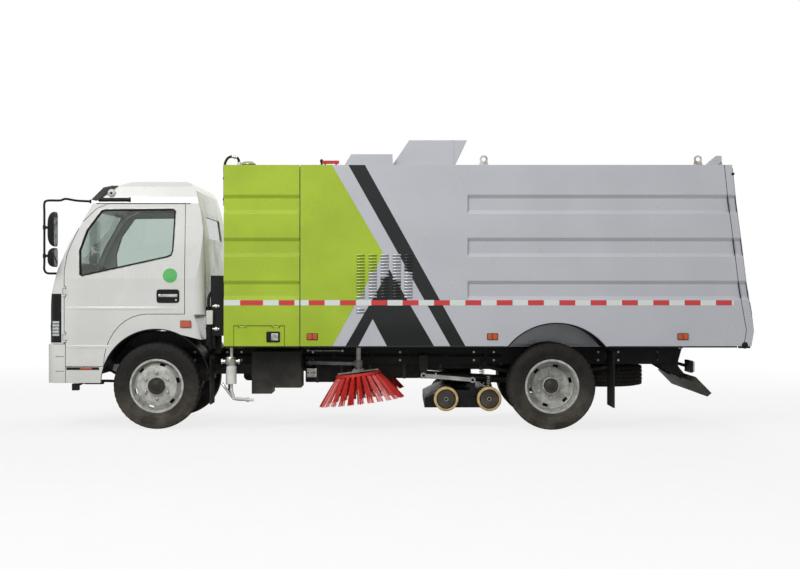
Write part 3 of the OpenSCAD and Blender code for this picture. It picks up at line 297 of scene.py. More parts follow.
def woven_cloth(name, light, dark, thread_mm=4.0):
    """Flat-woven seat cloth: threads under 1 mm, drawn at a few millimetres, matt with a soft sheen."""
    material, tree, shader, where = start_material(
        name, Metallic=0.0, IOR=1.45, Roughness=0.88, Sheen_Weight=0.25, Sheen_Roughness=0.5)
    warp = add(tree, "TexWave", {"Vector": where, "Scale": per_mm(thread_mm) / 6.2}, bands_direction="Y")
    weft = add(tree, "TexWave", {"Vector": where, "Scale": per_mm(thread_mm) / 6.2}, bands_direction="Z")
    weave = add(tree, "Math", {0: warp.outputs["Fac"], 1: weft.outputs["Fac"]}, operation="MULTIPLY")
    colours = add(tree, "MixRGB", {"Fac": weave, "Color1": to_linear(dark), "Color2": to_linear(light)})
    tree.links.new(colours.outputs[0], shader.inputs["Base Color"])
    tree.links.new(relief(tree, weave, 0.4).outputs[0], shader.inputs["Normal"])
    return material


CAB_WHITE = coach_enamel("cab_white_coach_enamel", "#d8d8d5", "#cfcfcc", dust_top=0.75)
LIME = coach_enamel("lime_green_coach_enamel", "#a5c01c", "#9bb418", dust_top=1.0)
SILVER = metallic_coach_paint("silver_grey_metallic_coach_paint", "#babcc2", "#b5b7bd")
STRIPE = coach_enamel("black_cast_vinyl_stripe", "#101314", "#0b0e0f", rough=0.34, edge_mm=0.0)
CHASSIS = chassis_paint("black_dipped_chassis_primer", "#0f0f10", "#080909")
ARM_GREY = chassis_paint("grey_zinc_rich_primer", "#9a9b98", "#6f706e", rough=0.45, dust=0.2)
IRON = chassis_paint("painted_cast_iron", "#3a3c3e", "#242628", rough=0.55)
BLACK_PLASTIC = moulded_plastic("black_textured_polypropylene", "#131416", "#0b0c0d")
TYRE = cured_rubber("carbon_black_tyre_rubber", "#1f1d1b", "#131110")
SEAL = cured_rubber("extruded_epdm_seal", "#101112", "#0a0b0b", rough=0.5, dust=0.1)
FLAP = cured_rubber("ply_reinforced_flap_rubber", "#121211", "#0b0b0a", rough=0.75)
TAN = cured_rubber("cast_polyurethane_castor_tread", "#ddc384", "#c2a35f", rough=0.42, dust=0.25)
ZINC = chassis_paint("light_grey_zinc_paint", "#c9cac6", "#a3a4a1", rough=0.4, dust=0.12)
RIM = wheel_lacquer("silver_wheel_lacquer", "#c0c0bb", "#9b9b95")
STEEL = bare_metal("zinc_plated_steel", "#c9c8c2", "#98958c")
BRIGHT = bare_metal("hard_chromed_rod", "#e6e7e8", "#c8cacb", rough=0.12, grain_mm=8.0, stain="#a2a3a3")
# near-black colour on the mirror glass: a painted dark reflection, not the glass's own colour
DARKENED_MIRROR = bare_metal("silvered_mirror_glass_painted_dark", "#3a3e42", "#2b2f33", rough=0.08, grain_mm=60.0, stain="#33373b")
GLASS = clear_glazing("tinted_tempered_glass", "#d3ddd8")
CLEAR_LENS = clear_glazing("clear_polycarbonate_lens", "#eef2f4", rough=0.04)
AMBER = moulded_lens("amber_acrylic_lens", "#f0703a", "#c8451a")
RED_LENS = moulded_lens("red_acrylic_lens", "#c8252a", "#8f1216")
WHITE_LENS = moulded_lens("white_acrylic_lens", "#e8eaea", "#c4c8ca")
BEACON_LENS = moulded_lens("grey_yellow_beacon_lens", "#c9c08a", "#8f8a66")
TAPE_RED = marking_tape("red_reflective_tape", "#cf2a2e", "#a81b20")
TAPE_WHITE = marking_tape("white_reflective_tape", "#dfe3df", "#b9bfbb")
RED_PAINT = coach_enamel("signal_red_enamel", "#cc2c28", "#b52420")
BRISTLE = drawn_bristle("red_polypropylene_bristle", "#e03a30", "#b7221d")
FILTER_WHITE = moulded_plastic("white_polypropylene_filter_bowl", "#dedfda", "#c9cac4", rough=0.3)
CLOTH = woven_cloth("grey_woven_seat_cloth", "#5b5e62", "#2e3033")
GREEN_DISC = coach_enamel("green_printed_vinyl_disc", "#58b85e", "#4aa552", rough=0.35, edge_mm=0.0)

DARK_FINISHES = (STRIPE, CHASSIS, BLACK_PLASTIC, TYRE, SEAL, FLAP)
for finish in DARK_FINISHES:
    for node in finish.node_tree.nodes:
        if node.bl_idname == "ShaderNodeBsdfPrincipled":
            node.inputs["Specular IOR Level"].default_value = 0.22  # matt: pigment and dust break the sheen

NODE_FINISH = {
    "frame_black": CHASSIS, "engine_grey": IRON, "cab_white": CAB_WHITE, "green_paint": LIME,
    "silver_paint": SILVER, "black_plastic": BLACK_PLASTIC, "lamp_clear": BLACK_PLASTIC, "clear_glass": GLASS,
    "rim_silver": RIM, "tyre_rubber": TYRE, "flap_rubber": FLAP, "seat_cloth": CLOTH,
    "filter_white": FILTER_WHITE, "bare_steel": STEEL, "brush_red": BRISTLE, "castor_tan": TAN,
    "arm_grey": ARM_GREY,
}
for part in frame["record"]["subparts"]:
    mesh = NODES[part["node"]].data
    mesh.materials.clear()
    mesh.materials.append(NODE_FINISH[part["material_slot"]])
for node, finish in (("suction_links", ZINC), ("brush_head_left", ZINC), ("brush_head_right", ZINC)):
    NODES[node].data.materials[0] = finish

# ---------------------------------------------------------------- shape tools


def turn_frame(axis):
    """Two directions square to an axis."""
    along = Vector(axis).normalized()
    helper = Vector((0, 0, 1)) if abs(along.z) < 0.9 else Vector((1, 0, 0))
    first = along.cross(helper).normalized()
    return along, first, along.cross(first)


THINNEST = 0.0004  # a lathe profile never closes to less than this radius

# a point of an outline (a, b) at c along the axis that the outline is square to
SQUARE_TO = {
    "x": lambda a, b, c: (c, a, b),
    "y": lambda a, b, c: (a, c, b),
    "z": lambda a, b, c: (a, b, c),
}


class Shape:
    """Gathers closed bodies into one piece."""

    def __init__(self):
        self.mesh = bmesh.new()

    def skin(self, rings, looped=False):
        """Skins rings of points that all have the same count, and closes the ends."""
        made = [[self.mesh.verts.new(p) for p in ring] for ring in rings]
        count = len(made[0])
        followers = made[1:] + (made[:1] if looped else [])
        for ring, after in zip(made, followers):
            for i in range(count):
                j = (i + 1) % count
                self.mesh.faces.new((ring[i], ring[j], after[j], after[i]))
        if not looped:
            self.mesh.faces.new(list(reversed(made[0])))
            self.mesh.faces.new(made[-1])
        return self

    def prism(self, outline, axis, near, far):
        """An outline drawn square to x, y or z, taken from near to far along it."""
        place = SQUARE_TO[axis]
        return self.skin([[place(a, b, c) for a, b in outline] for c in (near, far)])

    def box(self, low, high):
        outline = [(low[0], low[2]), (high[0], low[2]), (high[0], high[2]), (low[0], high[2])]
        return self.prism(outline, "y", low[1], high[1])

    def turned(self, profile, centre, axis, steps=48, looped=False):
        """A lathe profile of (distance along the axis, radius)."""
        along, first, second = turn_frame(axis)
        base = Vector(centre)
        rings = []
        for reach, radius in profile:
            held = max(radius, THINNEST)
            rings.append([base + along * reach + (first * math.cos(t) + second * math.sin(t)) * held
                          for t in [2 * math.pi * i / steps for i in range(steps)]])
        return self.skin(rings, looped)

    def rod(self, start, end, radius, steps=16, end_radius=None):
        along = Vector(end) - Vector(start)
        far = radius if end_radius is None else end_radius
        return self.turned([(0, radius), (along.length, far)], start, along, steps)

    def tube(self, points, radius, steps=10):
        """A bent pipe or hose through the points."""
        points = [Vector(p) for p in points]
        heading = (points[1] - points[0]).normalized()
        _, first, _ = turn_frame(heading)
        rings = []
        for i, p in enumerate(points):
            before = points[max(i - 1, 0)]
            after = points[min(i + 1, len(points) - 1)]
            new = (after - before).normalized()
            first = (first - new * first.dot(new)).normalized()
            second = new.cross(first)
            rings.append([p + (first * math.cos(t) + second * math.sin(t)) * radius
                          for t in [2 * math.pi * k / steps for k in range(steps)]])
        return self.skin(rings)

    def hex_head(self, centre, axis, across, height):
        """A bolt head or nut with its washer face."""
        self.turned([(0, across * 0.62), (0.002, across * 0.62)], centre, axis, 20)
        along = Vector(axis).normalized()
        return self.turned([(0.002, across * 0.56), (height * 0.85, across * 0.56), (height, across * 0.46)],
                           Vector(centre), along, 6)

    def strip_round(self, outline, axis, near, far, width):
        """A flat frame that follows a closed outline, width wide inside it."""
        inner = shrunk(outline, width)
        count = len(outline)
        place = SQUARE_TO[axis]
        rings = []
        for i in range(count):
            (oa, ob), (ia, ib) = outline[i], inner[i]
            rings.append([place(oa, ob, near), place(oa, ob, far), place(ia, ib, far), place(ia, ib, near)])
        return self.skin(rings, looped=True)

    def done(self, name, body, slot, finish, round_edges=0.0, smooth=38, over=(), soft=0):
        """Makes the piece, rounds its edges, and lets it ride on its body."""
        bmesh.ops.recalc_face_normals(self.mesh, faces=self.mesh.faces[:])
        for face in self.mesh.faces:
            face.smooth = True
        for edge in self.mesh.edges:
            edge.smooth = len(edge.link_faces) == 2 and edge.calc_face_angle(0) < math.radians(smooth)
        mesh = bpy.data.meshes.new(name)
        self.mesh.to_mesh(mesh)
        self.mesh.free()
        mesh.materials.append(finish)
        piece = bpy.data.objects.new(name, mesh)
        bpy.context.scene.collection.objects.link(piece)
        if round_edges:
            rounding = piece.modifiers.new("rounded_edges", "BEVEL")
            rounding.width = round_edges
            rounding.segments = 2
            rounding.limit_method = "ANGLE"
            rounding.angle_limit = math.radians(38)
            rounding.harden_normals = True
        if soft:
            smoothing = piece.modifiers.new("soft_form", "SUBSURF")
            smoothing.levels = smoothing.render_levels = soft
        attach(piece, body)
        if over:
            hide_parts(*over)
        return piece


def shrunk(outline, width):
    """A closed outline moved inwards by width along its corners' bisectors."""
    count = len(outline)
    area = sum(outline[i][0] * outline[(i + 1) % count][1] - outline[(i + 1) % count][0] * outline[i][1]
               for i in range(count))
    turn = 1 if area > 0 else -1
    inner = []
    for i in range(count):
        a, b, c = Vector(outline[i - 1]), Vector(outline[i]), Vector(outline[(i + 1) % count])
        into, out = (b - a).normalized(), (c - b).normalized()
        n1 = Vector((-into.y, into.x)) * turn
        n2 = Vector((-out.y, out.x)) * turn
        middle = (n1 + n2).normalized()
        inner.append(tuple(b + middle * (width / max(middle.dot(n1), 0.35))))
    return inner


def rounded(outline, radius, steps=5):
    """A closed outline with its corners rounded."""
    count = len(outline)
    points = []
    for i in range(count):
        a, b, c = Vector(outline[i - 1]), Vector(outline[i]), Vector(outline[(i + 1) % count])
        r = min(radius, (b - a).length * 0.45, (c - b).length * 0.45)
        start, end = b + (a - b).normalized() * r, b + (c - b).normalized() * r
        for k in range(steps + 1):
            t = k / steps
            points.append(tuple(start * (1 - t) ** 2 + b * 2 * t * (1 - t) + end * t ** 2))
    return points


def curve_points(points, steps=8):
    """Points along a smooth line through the given ones."""
    points = [Vector(p) for p in points]
    padded = [2 * points[0] - points[1]] + points + [2 * points[-1] - points[-2]]
    line = []
    for p0, p1, p2, p3 in zip(padded, padded[1:], padded[2:], padded[3:]):
        for k in range(steps):
            t = k / steps
            line.append(0.5 * (2 * p1 + (p2 - p0) * t + (2 * p0 - 5 * p1 + 4 * p2 - p3) * t ** 2
                               + (3 * p1 - p0 - 3 * p2 + p3) * t ** 3))
    return line + [points[-1]]


def sorted_box(a, b):
    """Two opposite corners as lowest and highest."""
    return [tuple(min(u, v) for u, v in zip(a, b)), tuple(max(u, v) for u, v in zip(a, b))]


SIDES = {"left": -1, "right": 1}

# ---------------------------------------------------------------- places on the truck

tyre_low, tyre_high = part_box("front_tyre_left")
TYRE_R = (tyre_high.z - tyre_low.z) / 2
AXLE_Z = (tyre_high.z + tyre_low.z) / 2
FRONT = (tyre_low.x + tyre_high.x) / 2
rear_low, rear_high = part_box("rear_tyres_left")
REAR = (rear_low.x + rear_high.x) / 2
module_low, module_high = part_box("front_module")
SIDE = module_high.y
ROOF = module_high.z
MODULE = module_low.x
MODULE_END = module_high.x
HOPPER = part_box("hopper_shell")[0].x
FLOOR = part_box("rear_door")[0].z
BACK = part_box("rear_door")[1].x

# ---------------------------------------------------------------- camera, light and floor

TARGET = Vector((0.018, 0, 1.394))
CAMERA_AWAY = 15.0
CAMERA_Y = -SIDE - CAMERA_AWAY
SENSOR = 36
LENS_PLANE = 15.05  # metres to the plane that the width below is seen in
VIEW_WIDTH = 7.648
camera_data = bpy.data.cameras.new("side_camera")
camera_data.sensor_width = SENSOR
camera_data.lens = SENSOR * LENS_PLANE / VIEW_WIDTH
camera = bpy.data.objects.new("side_camera", camera_data)
camera.location = (TARGET.x, CAMERA_Y, TARGET.z)
camera.rotation_euler = (math.pi / 2, 0, 0)
bpy.context.scene.collection.objects.link(camera)
bpy.context.scene.camera = camera


LAMP_AIM = Vector((0, 0, 1.2))
AMBIENT = 0.36  # strength of the white surroundings on the truck itself
PAPER_HALF = 40
GLOW_NEAR, GLOW_FAR = 4.5, 14.0  # the paper fades to white between these distances from the truck


def soft_lamp(name, place, size, power):
    lamp_data = bpy.data.lights.new(name, "AREA")
    lamp_data.shape = "DISK"
    lamp_data.size = size
    lamp_data.energy = power
    lamp = bpy.data.objects.new(name, lamp_data)
    lamp.location = place
    lamp.rotation_euler = (LAMP_AIM - Vector(place)).to_track_quat("-Z", "Y").to_euler()
    bpy.context.scene.collection.objects.link(lamp)


soft_lamp("driver_side_softbox", (-5.0, -12.0, 10.0), 7.0, 1350)
soft_lamp("far_side_softbox", (5.0, 12.0, 10.0), 7.0, 1150)
soft_lamp("top_softbox", (0.0, 0.0, 13.0), 8.0, 200)

world = bpy.data.worlds.new("white_studio")
world.use_nodes = True
sky = world.node_tree
sky.nodes.clear()
rays = add(sky, "LightPath")
seen = add(sky, "Math", {0: rays.outputs["Is Camera Ray"], 1: rays.outputs["Is Transmission Ray"]},
           operation="MAXIMUM")
seen = add(sky, "Math", {0: seen, 1: rays.outputs["Is Glossy Ray"]}, operation="MAXIMUM")
white = add(sky, "Background", {"Color": (1, 1, 1, 1), "Strength": 1.0})
fill = add(sky, "Background", {"Color": (1, 1, 1, 1), "Strength": AMBIENT})
mixed = add(sky, "MixShader", {0: seen, 1: fill, 2: white})
add(sky, "OutputWorld", {"Surface": mixed})
bpy.context.scene.world = world
bpy.context.scene.view_settings.view_transform = "Standard"

floor_paper = bpy.data.materials.new("white_studio_paper")
floor_paper.use_nodes = True
tree = floor_paper.node_tree
tree.nodes.clear()
rays = add(tree, "LightPath")
on_floor = add(tree, "TexCoord").outputs["Object"]
fibres = clouded(tree, on_floor, "#cfcfce", "#c9c9c8", 300)
paper = add(tree, "BsdfDiffuse", {"Color": fibres})
glow = add(tree, "Emission", {"Color": (1, 1, 1, 1), "Strength": 1.0})
from_truck = add(tree, "VectorMath", {0: on_floor}, operation="LENGTH").outputs["Value"]
glowing = share(tree, from_truck, GLOW_NEAR, GLOW_FAR, 0.82, 1.0)
seen = add(tree, "Math", {0: rays.outputs["Is Camera Ray"], 1: glowing}, operation="MULTIPLY")
add(tree, "OutputMaterial", {"Surface": add(tree, "MixShader", {0: seen, 1: paper, 2: glow})})
sheet = bmesh.new()
bmesh.ops.create_grid(sheet, x_segments=24, y_segments=24, size=PAPER_HALF)
sheet_mesh = bpy.data.meshes.new("studio_floor")
sheet.to_mesh(sheet_mesh)
sheet.free()
sheet_mesh.materials.append(floor_paper)
studio_floor = bpy.data.objects.new("studio_floor", sheet_mesh)
studio_floor.location.z = -0.002
bpy.context.scene.collection.objects.link(studio_floor)

# ---------------------------------------------------------------- tyres and wheels

GROOVES = (0.020, 0.056)  # middles of the tread's ring grooves, from the tyre's middle
GROOVE_HALF = 0.0045
GROOVE_DEEP = 0.011
BLOCKS = 46  # shoulder blocks round the tyre


def tyre_profile(radius, half_width, in_gap):
    """One side-to-side section of the tyre as (across, radius), bead to bead."""
    wall = [(0.0775, 0.2515), (0.0900, 0.2600), (0.0975, 0.2720), (0.1000, 0.2850), (0.0990, 0.2890),
            (0.1030, 0.3000), (0.1058, 0.3180), (0.1070, 0.3370), (0.1066, 0.3480), (0.1074, 0.3520),
            (0.1060, 0.3570), (0.1035, 0.3700), (0.1010, 0.3830)]
    scale = half_width / 0.1075
    side = [(a * scale, r) for a, r in wall]
    drop = 0.010 if in_gap else 0.0
    side += [(0.0985 * scale, radius - 0.020 - drop * 0.4), (0.0950 * scale, radius - 0.0085 - drop),
             (0.0880 * scale, radius - 0.0035 - drop), (0.0660 * scale, radius - 0.0016 - drop)]
    crown = []
    for middle in reversed(GROOVES):
        crown += [(middle + GROOVE_HALF + 0.001, radius - 0.0008),
                  (middle + GROOVE_HALF - 0.001, radius - GROOVE_DEEP),
                  (middle - GROOVE_HALF + 0.001, radius - GROOVE_DEEP),
                  (middle - GROOVE_HALF - 0.001, radius - 0.0004)]
    half = side + crown
    return half + [(-a, r) for a, r in reversed(half)]


def tyre(shape, centre, axis, radius, half_width):
    along, first, second = turn_frame(axis)
    steps = BLOCKS * 4
    rings = []
    for i in range(steps):
        section = tyre_profile(radius, half_width, i % 4 == 3)
        t = 2 * math.pi * i / steps
        out = first * math.cos(t) + second * math.sin(t)
        rings.append([Vector(centre) + along * a + out * r for a, r in section])
    shape.skin(rings, looped=True)


TYRE_HALF = (tyre_high.y - tyre_low.y) / 2
TWIN = (rear_high.y - rear_low.y - 2 * TYRE_HALF)
for side, s in SIDES.items():
    y_front = s * (abs(tyre_low.y) - TYRE_HALF)
    shape = Shape()
    tyre(shape, (FRONT, y_front, AXLE_Z), (0, 1, 0), TYRE_R, TYRE_HALF)
    shape.done(f"treaded_front_tyre_{side}", f"front_wheel_{side}", "tyre_rubber", TYRE,
               over=[f"front_tyre_{side}"], smooth=32)
    shape = Shape()
    y_rear = abs(rear_low.y) - TYRE_HALF
    for y in (y_rear, y_rear - TWIN):
        tyre(shape, (REAR, s * y, AXLE_Z), (0, 1, 0), TYRE_R, TYRE_HALF)
    shape.done(f"treaded_rear_tyres_{side}", f"rear_wheels_{side}", "tyre_rubber", TYRE,
               over=[f"rear_tyres_{side}"], smooth=32)

    # wheel nuts on their studs, hub caps with bolts, and a valve
    front_face = abs(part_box("front_rim_left")[0].y) - 0.052
    rear_face = y_rear - TWIN / 2 + 0.012
    for axle, x, face, body, count in (("front", FRONT, front_face, f"front_wheel_{side}", 6),
                                       ("rear", REAR, rear_face, f"rear_wheels_{side}", 6)):
        nuts = Shape()
        for i in range(count):
            t = 2 * math.pi * (i + 0.5) / count
            at = (x + 0.122 * math.cos(t), s * face, AXLE_Z + 0.122 * math.sin(t))
            nuts.hex_head(at, (0, s, 0), 0.029, 0.017)
            nuts.turned([(0.015, 0.009), (0.027, 0.009), (0.029, 0.007)], at, (0, s, 0), 12)
        stem = (x + 0.205, s * (face + 0.002), AXLE_Z + 0.085)
        nuts.turned([(0, 0.006), (0.022, 0.005), (0.024, 0.004)], stem, (0, s, 0), 10)
        nuts.done(f"{axle}_wheel_nuts_{side}", body, "rim_silver", STEEL, round_edges=0.0008)
        cap = Shape()
        base = 0.052 if axle == "front" else 0.094
        cap.turned([(base - 0.034, 0.081), (base - 0.006, 0.079), (base, 0.073), (base + 0.002, 0.056),
                    (base + 0.006, 0.040),
                    (base + 0.012, 0.034), (base + 0.016, 0.020), (base + 0.017, 0.0)],
                   (x, s * face, AXLE_Z), (0, s, 0), 40)
        for i in range(8):
            t = 2 * math.pi * i / 8
            cap.hex_head((x + 0.0675 * math.cos(t), s * (face + base - 0.001), AXLE_Z + 0.0675 * math.sin(t)),
                         (0, s, 0), 0.012, 0.006)
        cap.done(f"{axle}_hub_cap_{side}", body, "frame_black", CHASSIS, round_edges=0.0012)

# spare wheel under the frame: its own treaded tyre on a plain disc
spare_low, spare_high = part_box("spare_wheel")
spare_mid = (spare_low + spare_high) / 2
shape = Shape()
tyre(shape, spare_mid, (0, 0, 1), (spare_high.x - spare_low.x) / 2, (spare_high.z - spare_low.z) / 2)
shape.done("treaded_spare_tyre", "truck", "tyre_rubber", TYRE, over=["spare_wheel"], smooth=32)
shape = Shape()
shape.turned([(-0.095, 0.262), (-0.085, 0.262), (-0.080, 0.246), (-0.020, 0.230), (0.012, 0.150),
              (0.018, 0.050),
              (0.030, 0.050), (0.026, 0.155), (-0.008, 0.236), (0.080, 0.240), (0.085, 0.262), (0.095, 0.262),
              (0.095, 0.240), (0.040, 0.218), (-0.070, 0.218), (-0.095, 0.240)],
             spare_mid, (0, 0, 1), 64, looped=True)
shape.done("spare_wheel_disc", "truck", "rim_silver", RIM)

# ---------------------------------------------------------------- side brushes

TUFTS = 26
STRANDS = 20


def brush_frame(side):
    joint = next(j for j in frame["joints"] if j["name"] == f"brush_{side}_spin")
    along, first, second = turn_frame(joint["axis"])
    if along.z < 0:
        along = -along
    return Vector(joint["pos_m"]), along, first, second


brush_low, brush_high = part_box("brush_left")
BRUSH_R = (brush_high.y - brush_low.y) / 2
DISC_R = 0.225
for side, s in SIDES.items():
    centre, up, first, second = brush_frame(side)
    disc = Shape()
    disc.turned([(-0.012, 0.125), (-0.012, DISC_R - 0.006), (-0.008, DISC_R), (0.010, DISC_R),
                 (0.016, DISC_R - 0.006),
                 (0.016, DISC_R - 0.042), (0.006, DISC_R - 0.050), (0.004, 0.125)], centre, up, 72,
                 looped=True)
    disc.done(f"brush_disc_{side}", f"brush_{side}", "brush_red", BRISTLE, over=[f"brush_{side}"],
              round_edges=0.001)
    plate = Shape()
    plate.turned([(-0.016, 0.0), (-0.016, 0.128), (0.008, 0.128), (0.012, 0.120), (0.012, 0.055),
                  (0.030, 0.048),
                  (0.030, 0.0)], centre, up, 48)
    for i in range(6):
        t = 2 * math.pi * i / 6
        plate.hex_head(centre + (first * math.cos(t) + second * math.sin(t)) * 0.095 + up * 0.012, up, 0.019,
                       0.012)
    plate.done(f"brush_plate_{side}", f"brush_{side}", "frame_black", CHASSIS, round_edges=0.001)
    bristles = Shape()
    for tuft in range(TUFTS):
        t = 2 * math.pi * tuft / TUFTS
        out = first * math.cos(t) + second * math.sin(t)
        round_ = up.cross(out)
        for strand in range(STRANDS):
            spread = (strand % 10 / 9 - 0.5) + random.uniform(-0.03, 0.03)
            layer = strand // 10
            root_r = DISC_R - 0.026 + layer * 0.013
            length = random.uniform(0.965, 1.0)
            tip_r = (BRUSH_R - 0.022 + layer * 0.012) * length
            points = []
            for k in range(4):
                f = k / 3
                radius = root_r + (tip_r - root_r) * (f ** 0.92)
                down = -0.006 - 0.262 * length * f
                points.append(centre + out * radius + up * down + round_ * spread * (0.026 + 0.034 * f))
            bristles.tube(points, 0.0019 + 0.0003 * (strand % 3), steps=4)
    bristles.done(f"brush_bristles_{side}", f"brush_{side}", "brush_red", BRISTLE, smooth=80)
    # wear band where each tuft is clamped
    clamps = Shape()
    for tuft in range(TUFTS):
        t = 2 * math.pi * tuft / TUFTS
        out = first * math.cos(t) + second * math.sin(t)
        clamps.rod(centre + out * (DISC_R - 0.022) + up * -0.010,
                   centre + out * (DISC_R - 0.010) + up * -0.034,
                   0.0165, 10)
    clamps.done(f"brush_ferrules_{side}", f"brush_{side}", "brush_red", BRISTLE, round_edges=0.001)

# ---------------------------------------------------------------- suction head's castors

for side, s in SIDES.items():
    for end in ("front", "rear"):
        node = f"castor_{end}_{side}"
        low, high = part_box(node)
        mid = (low + high) / 2
        r = (high.x - low.x) / 2
        w = (high.y - low.y) / 2
        tread = Shape()
        tread.turned([(-w, r - 0.024), (-w, r - 0.007), (-w + 0.006, r), (w - 0.006, r), (w, r - 0.007),
                      (w, r - 0.024)], mid, (0, 1, 0), 56, looped=True)
        tread.done(f"castor_tread_{end}_{side}", node, "castor_tan", TAN, over=[node])
        core = Shape()
        core.turned([(-w + 0.002, r - 0.024), (-w + 0.002, r - 0.032), (-w + 0.012, r - 0.036),
                     (-w + 0.014, 0.034),
                     (-w + 0.001, 0.030), (-w + 0.001, 0.0)] + [(w - 0.001, 0.0), (w - 0.001, 0.030),
                     (w - 0.014, 0.034), (w - 0.012, r - 0.036), (w - 0.002, r - 0.032),
                     (w - 0.002, r - 0.024)],
                    mid, (0, 1, 0), 48)
        for i in range(6):
            t = math.pi * i / 3
            core.rod(mid + Vector((0.052 * math.cos(t), s * (w - 0.016), 0.052 * math.sin(t))),
                     mid + Vector((0.052 * math.cos(t), s * (w - 0.008), 0.052 * math.sin(t))), 0.009, 12)
        core.done(f"castor_core_{end}_{side}", node, "frame_black", CHASSIS, round_edges=0.0008)
        hub = Shape()
        hub.turned([(w - 0.004, 0.022), (w + 0.000, 0.020), (w + 0.000, 0.0)] if s > 0 else
                   [(-w + 0.004, 0.022), (-w, 0.020), (-w, 0.0)], mid, (0, 1, 0), 20)
        hub.done(f"castor_hub_{end}_{side}", node, "bare_steel", STEEL)

# ---------------------------------------------------------------- body panels and livery

GREEN_FIELD = [(0.001, ROOF - 0.001), (0.302, ROOF - 0.001), (0.792, 1.690), (0.305, FLOOR + 0.001),
               (0.001, FLOOR + 0.001)]
BLACK_BAND = [(0.458, ROOF - 0.001), (0.615, ROOF - 0.001), (1.573, FLOOR + 0.001), (1.429, FLOOR + 0.001)]
BLACK_VEE = [(0.430, FLOOR + 0.001), (0.850, 1.537), (1.274, FLOOR + 0.001), (0.825, FLOOR + 0.001),
             (0.689, 1.065),
             (0.552, FLOOR + 0.001)]
SKIN = 0.0009  # thickness of a painted or stuck-on field


def from_hopper(outline):
    return [(HOPPER + x, z) for x, z in outline]


def inside(point, outline):
    hit = False
    for (x0, z0), (x1, z1) in zip(outline, outline[1:] + outline[:1]):
        if (z0 > point[1]) != (z1 > point[1]) and point[0] < (x1 - x0) * (point[1] - z0) / (z1 - z0) + x0:
            hit = not hit
    return hit


def plate_on_side(shape, outline, s, proud=SKIN, back=0.0):
    shape.prism(outline, "y", s * (SIDE - back), s * (SIDE + proud))


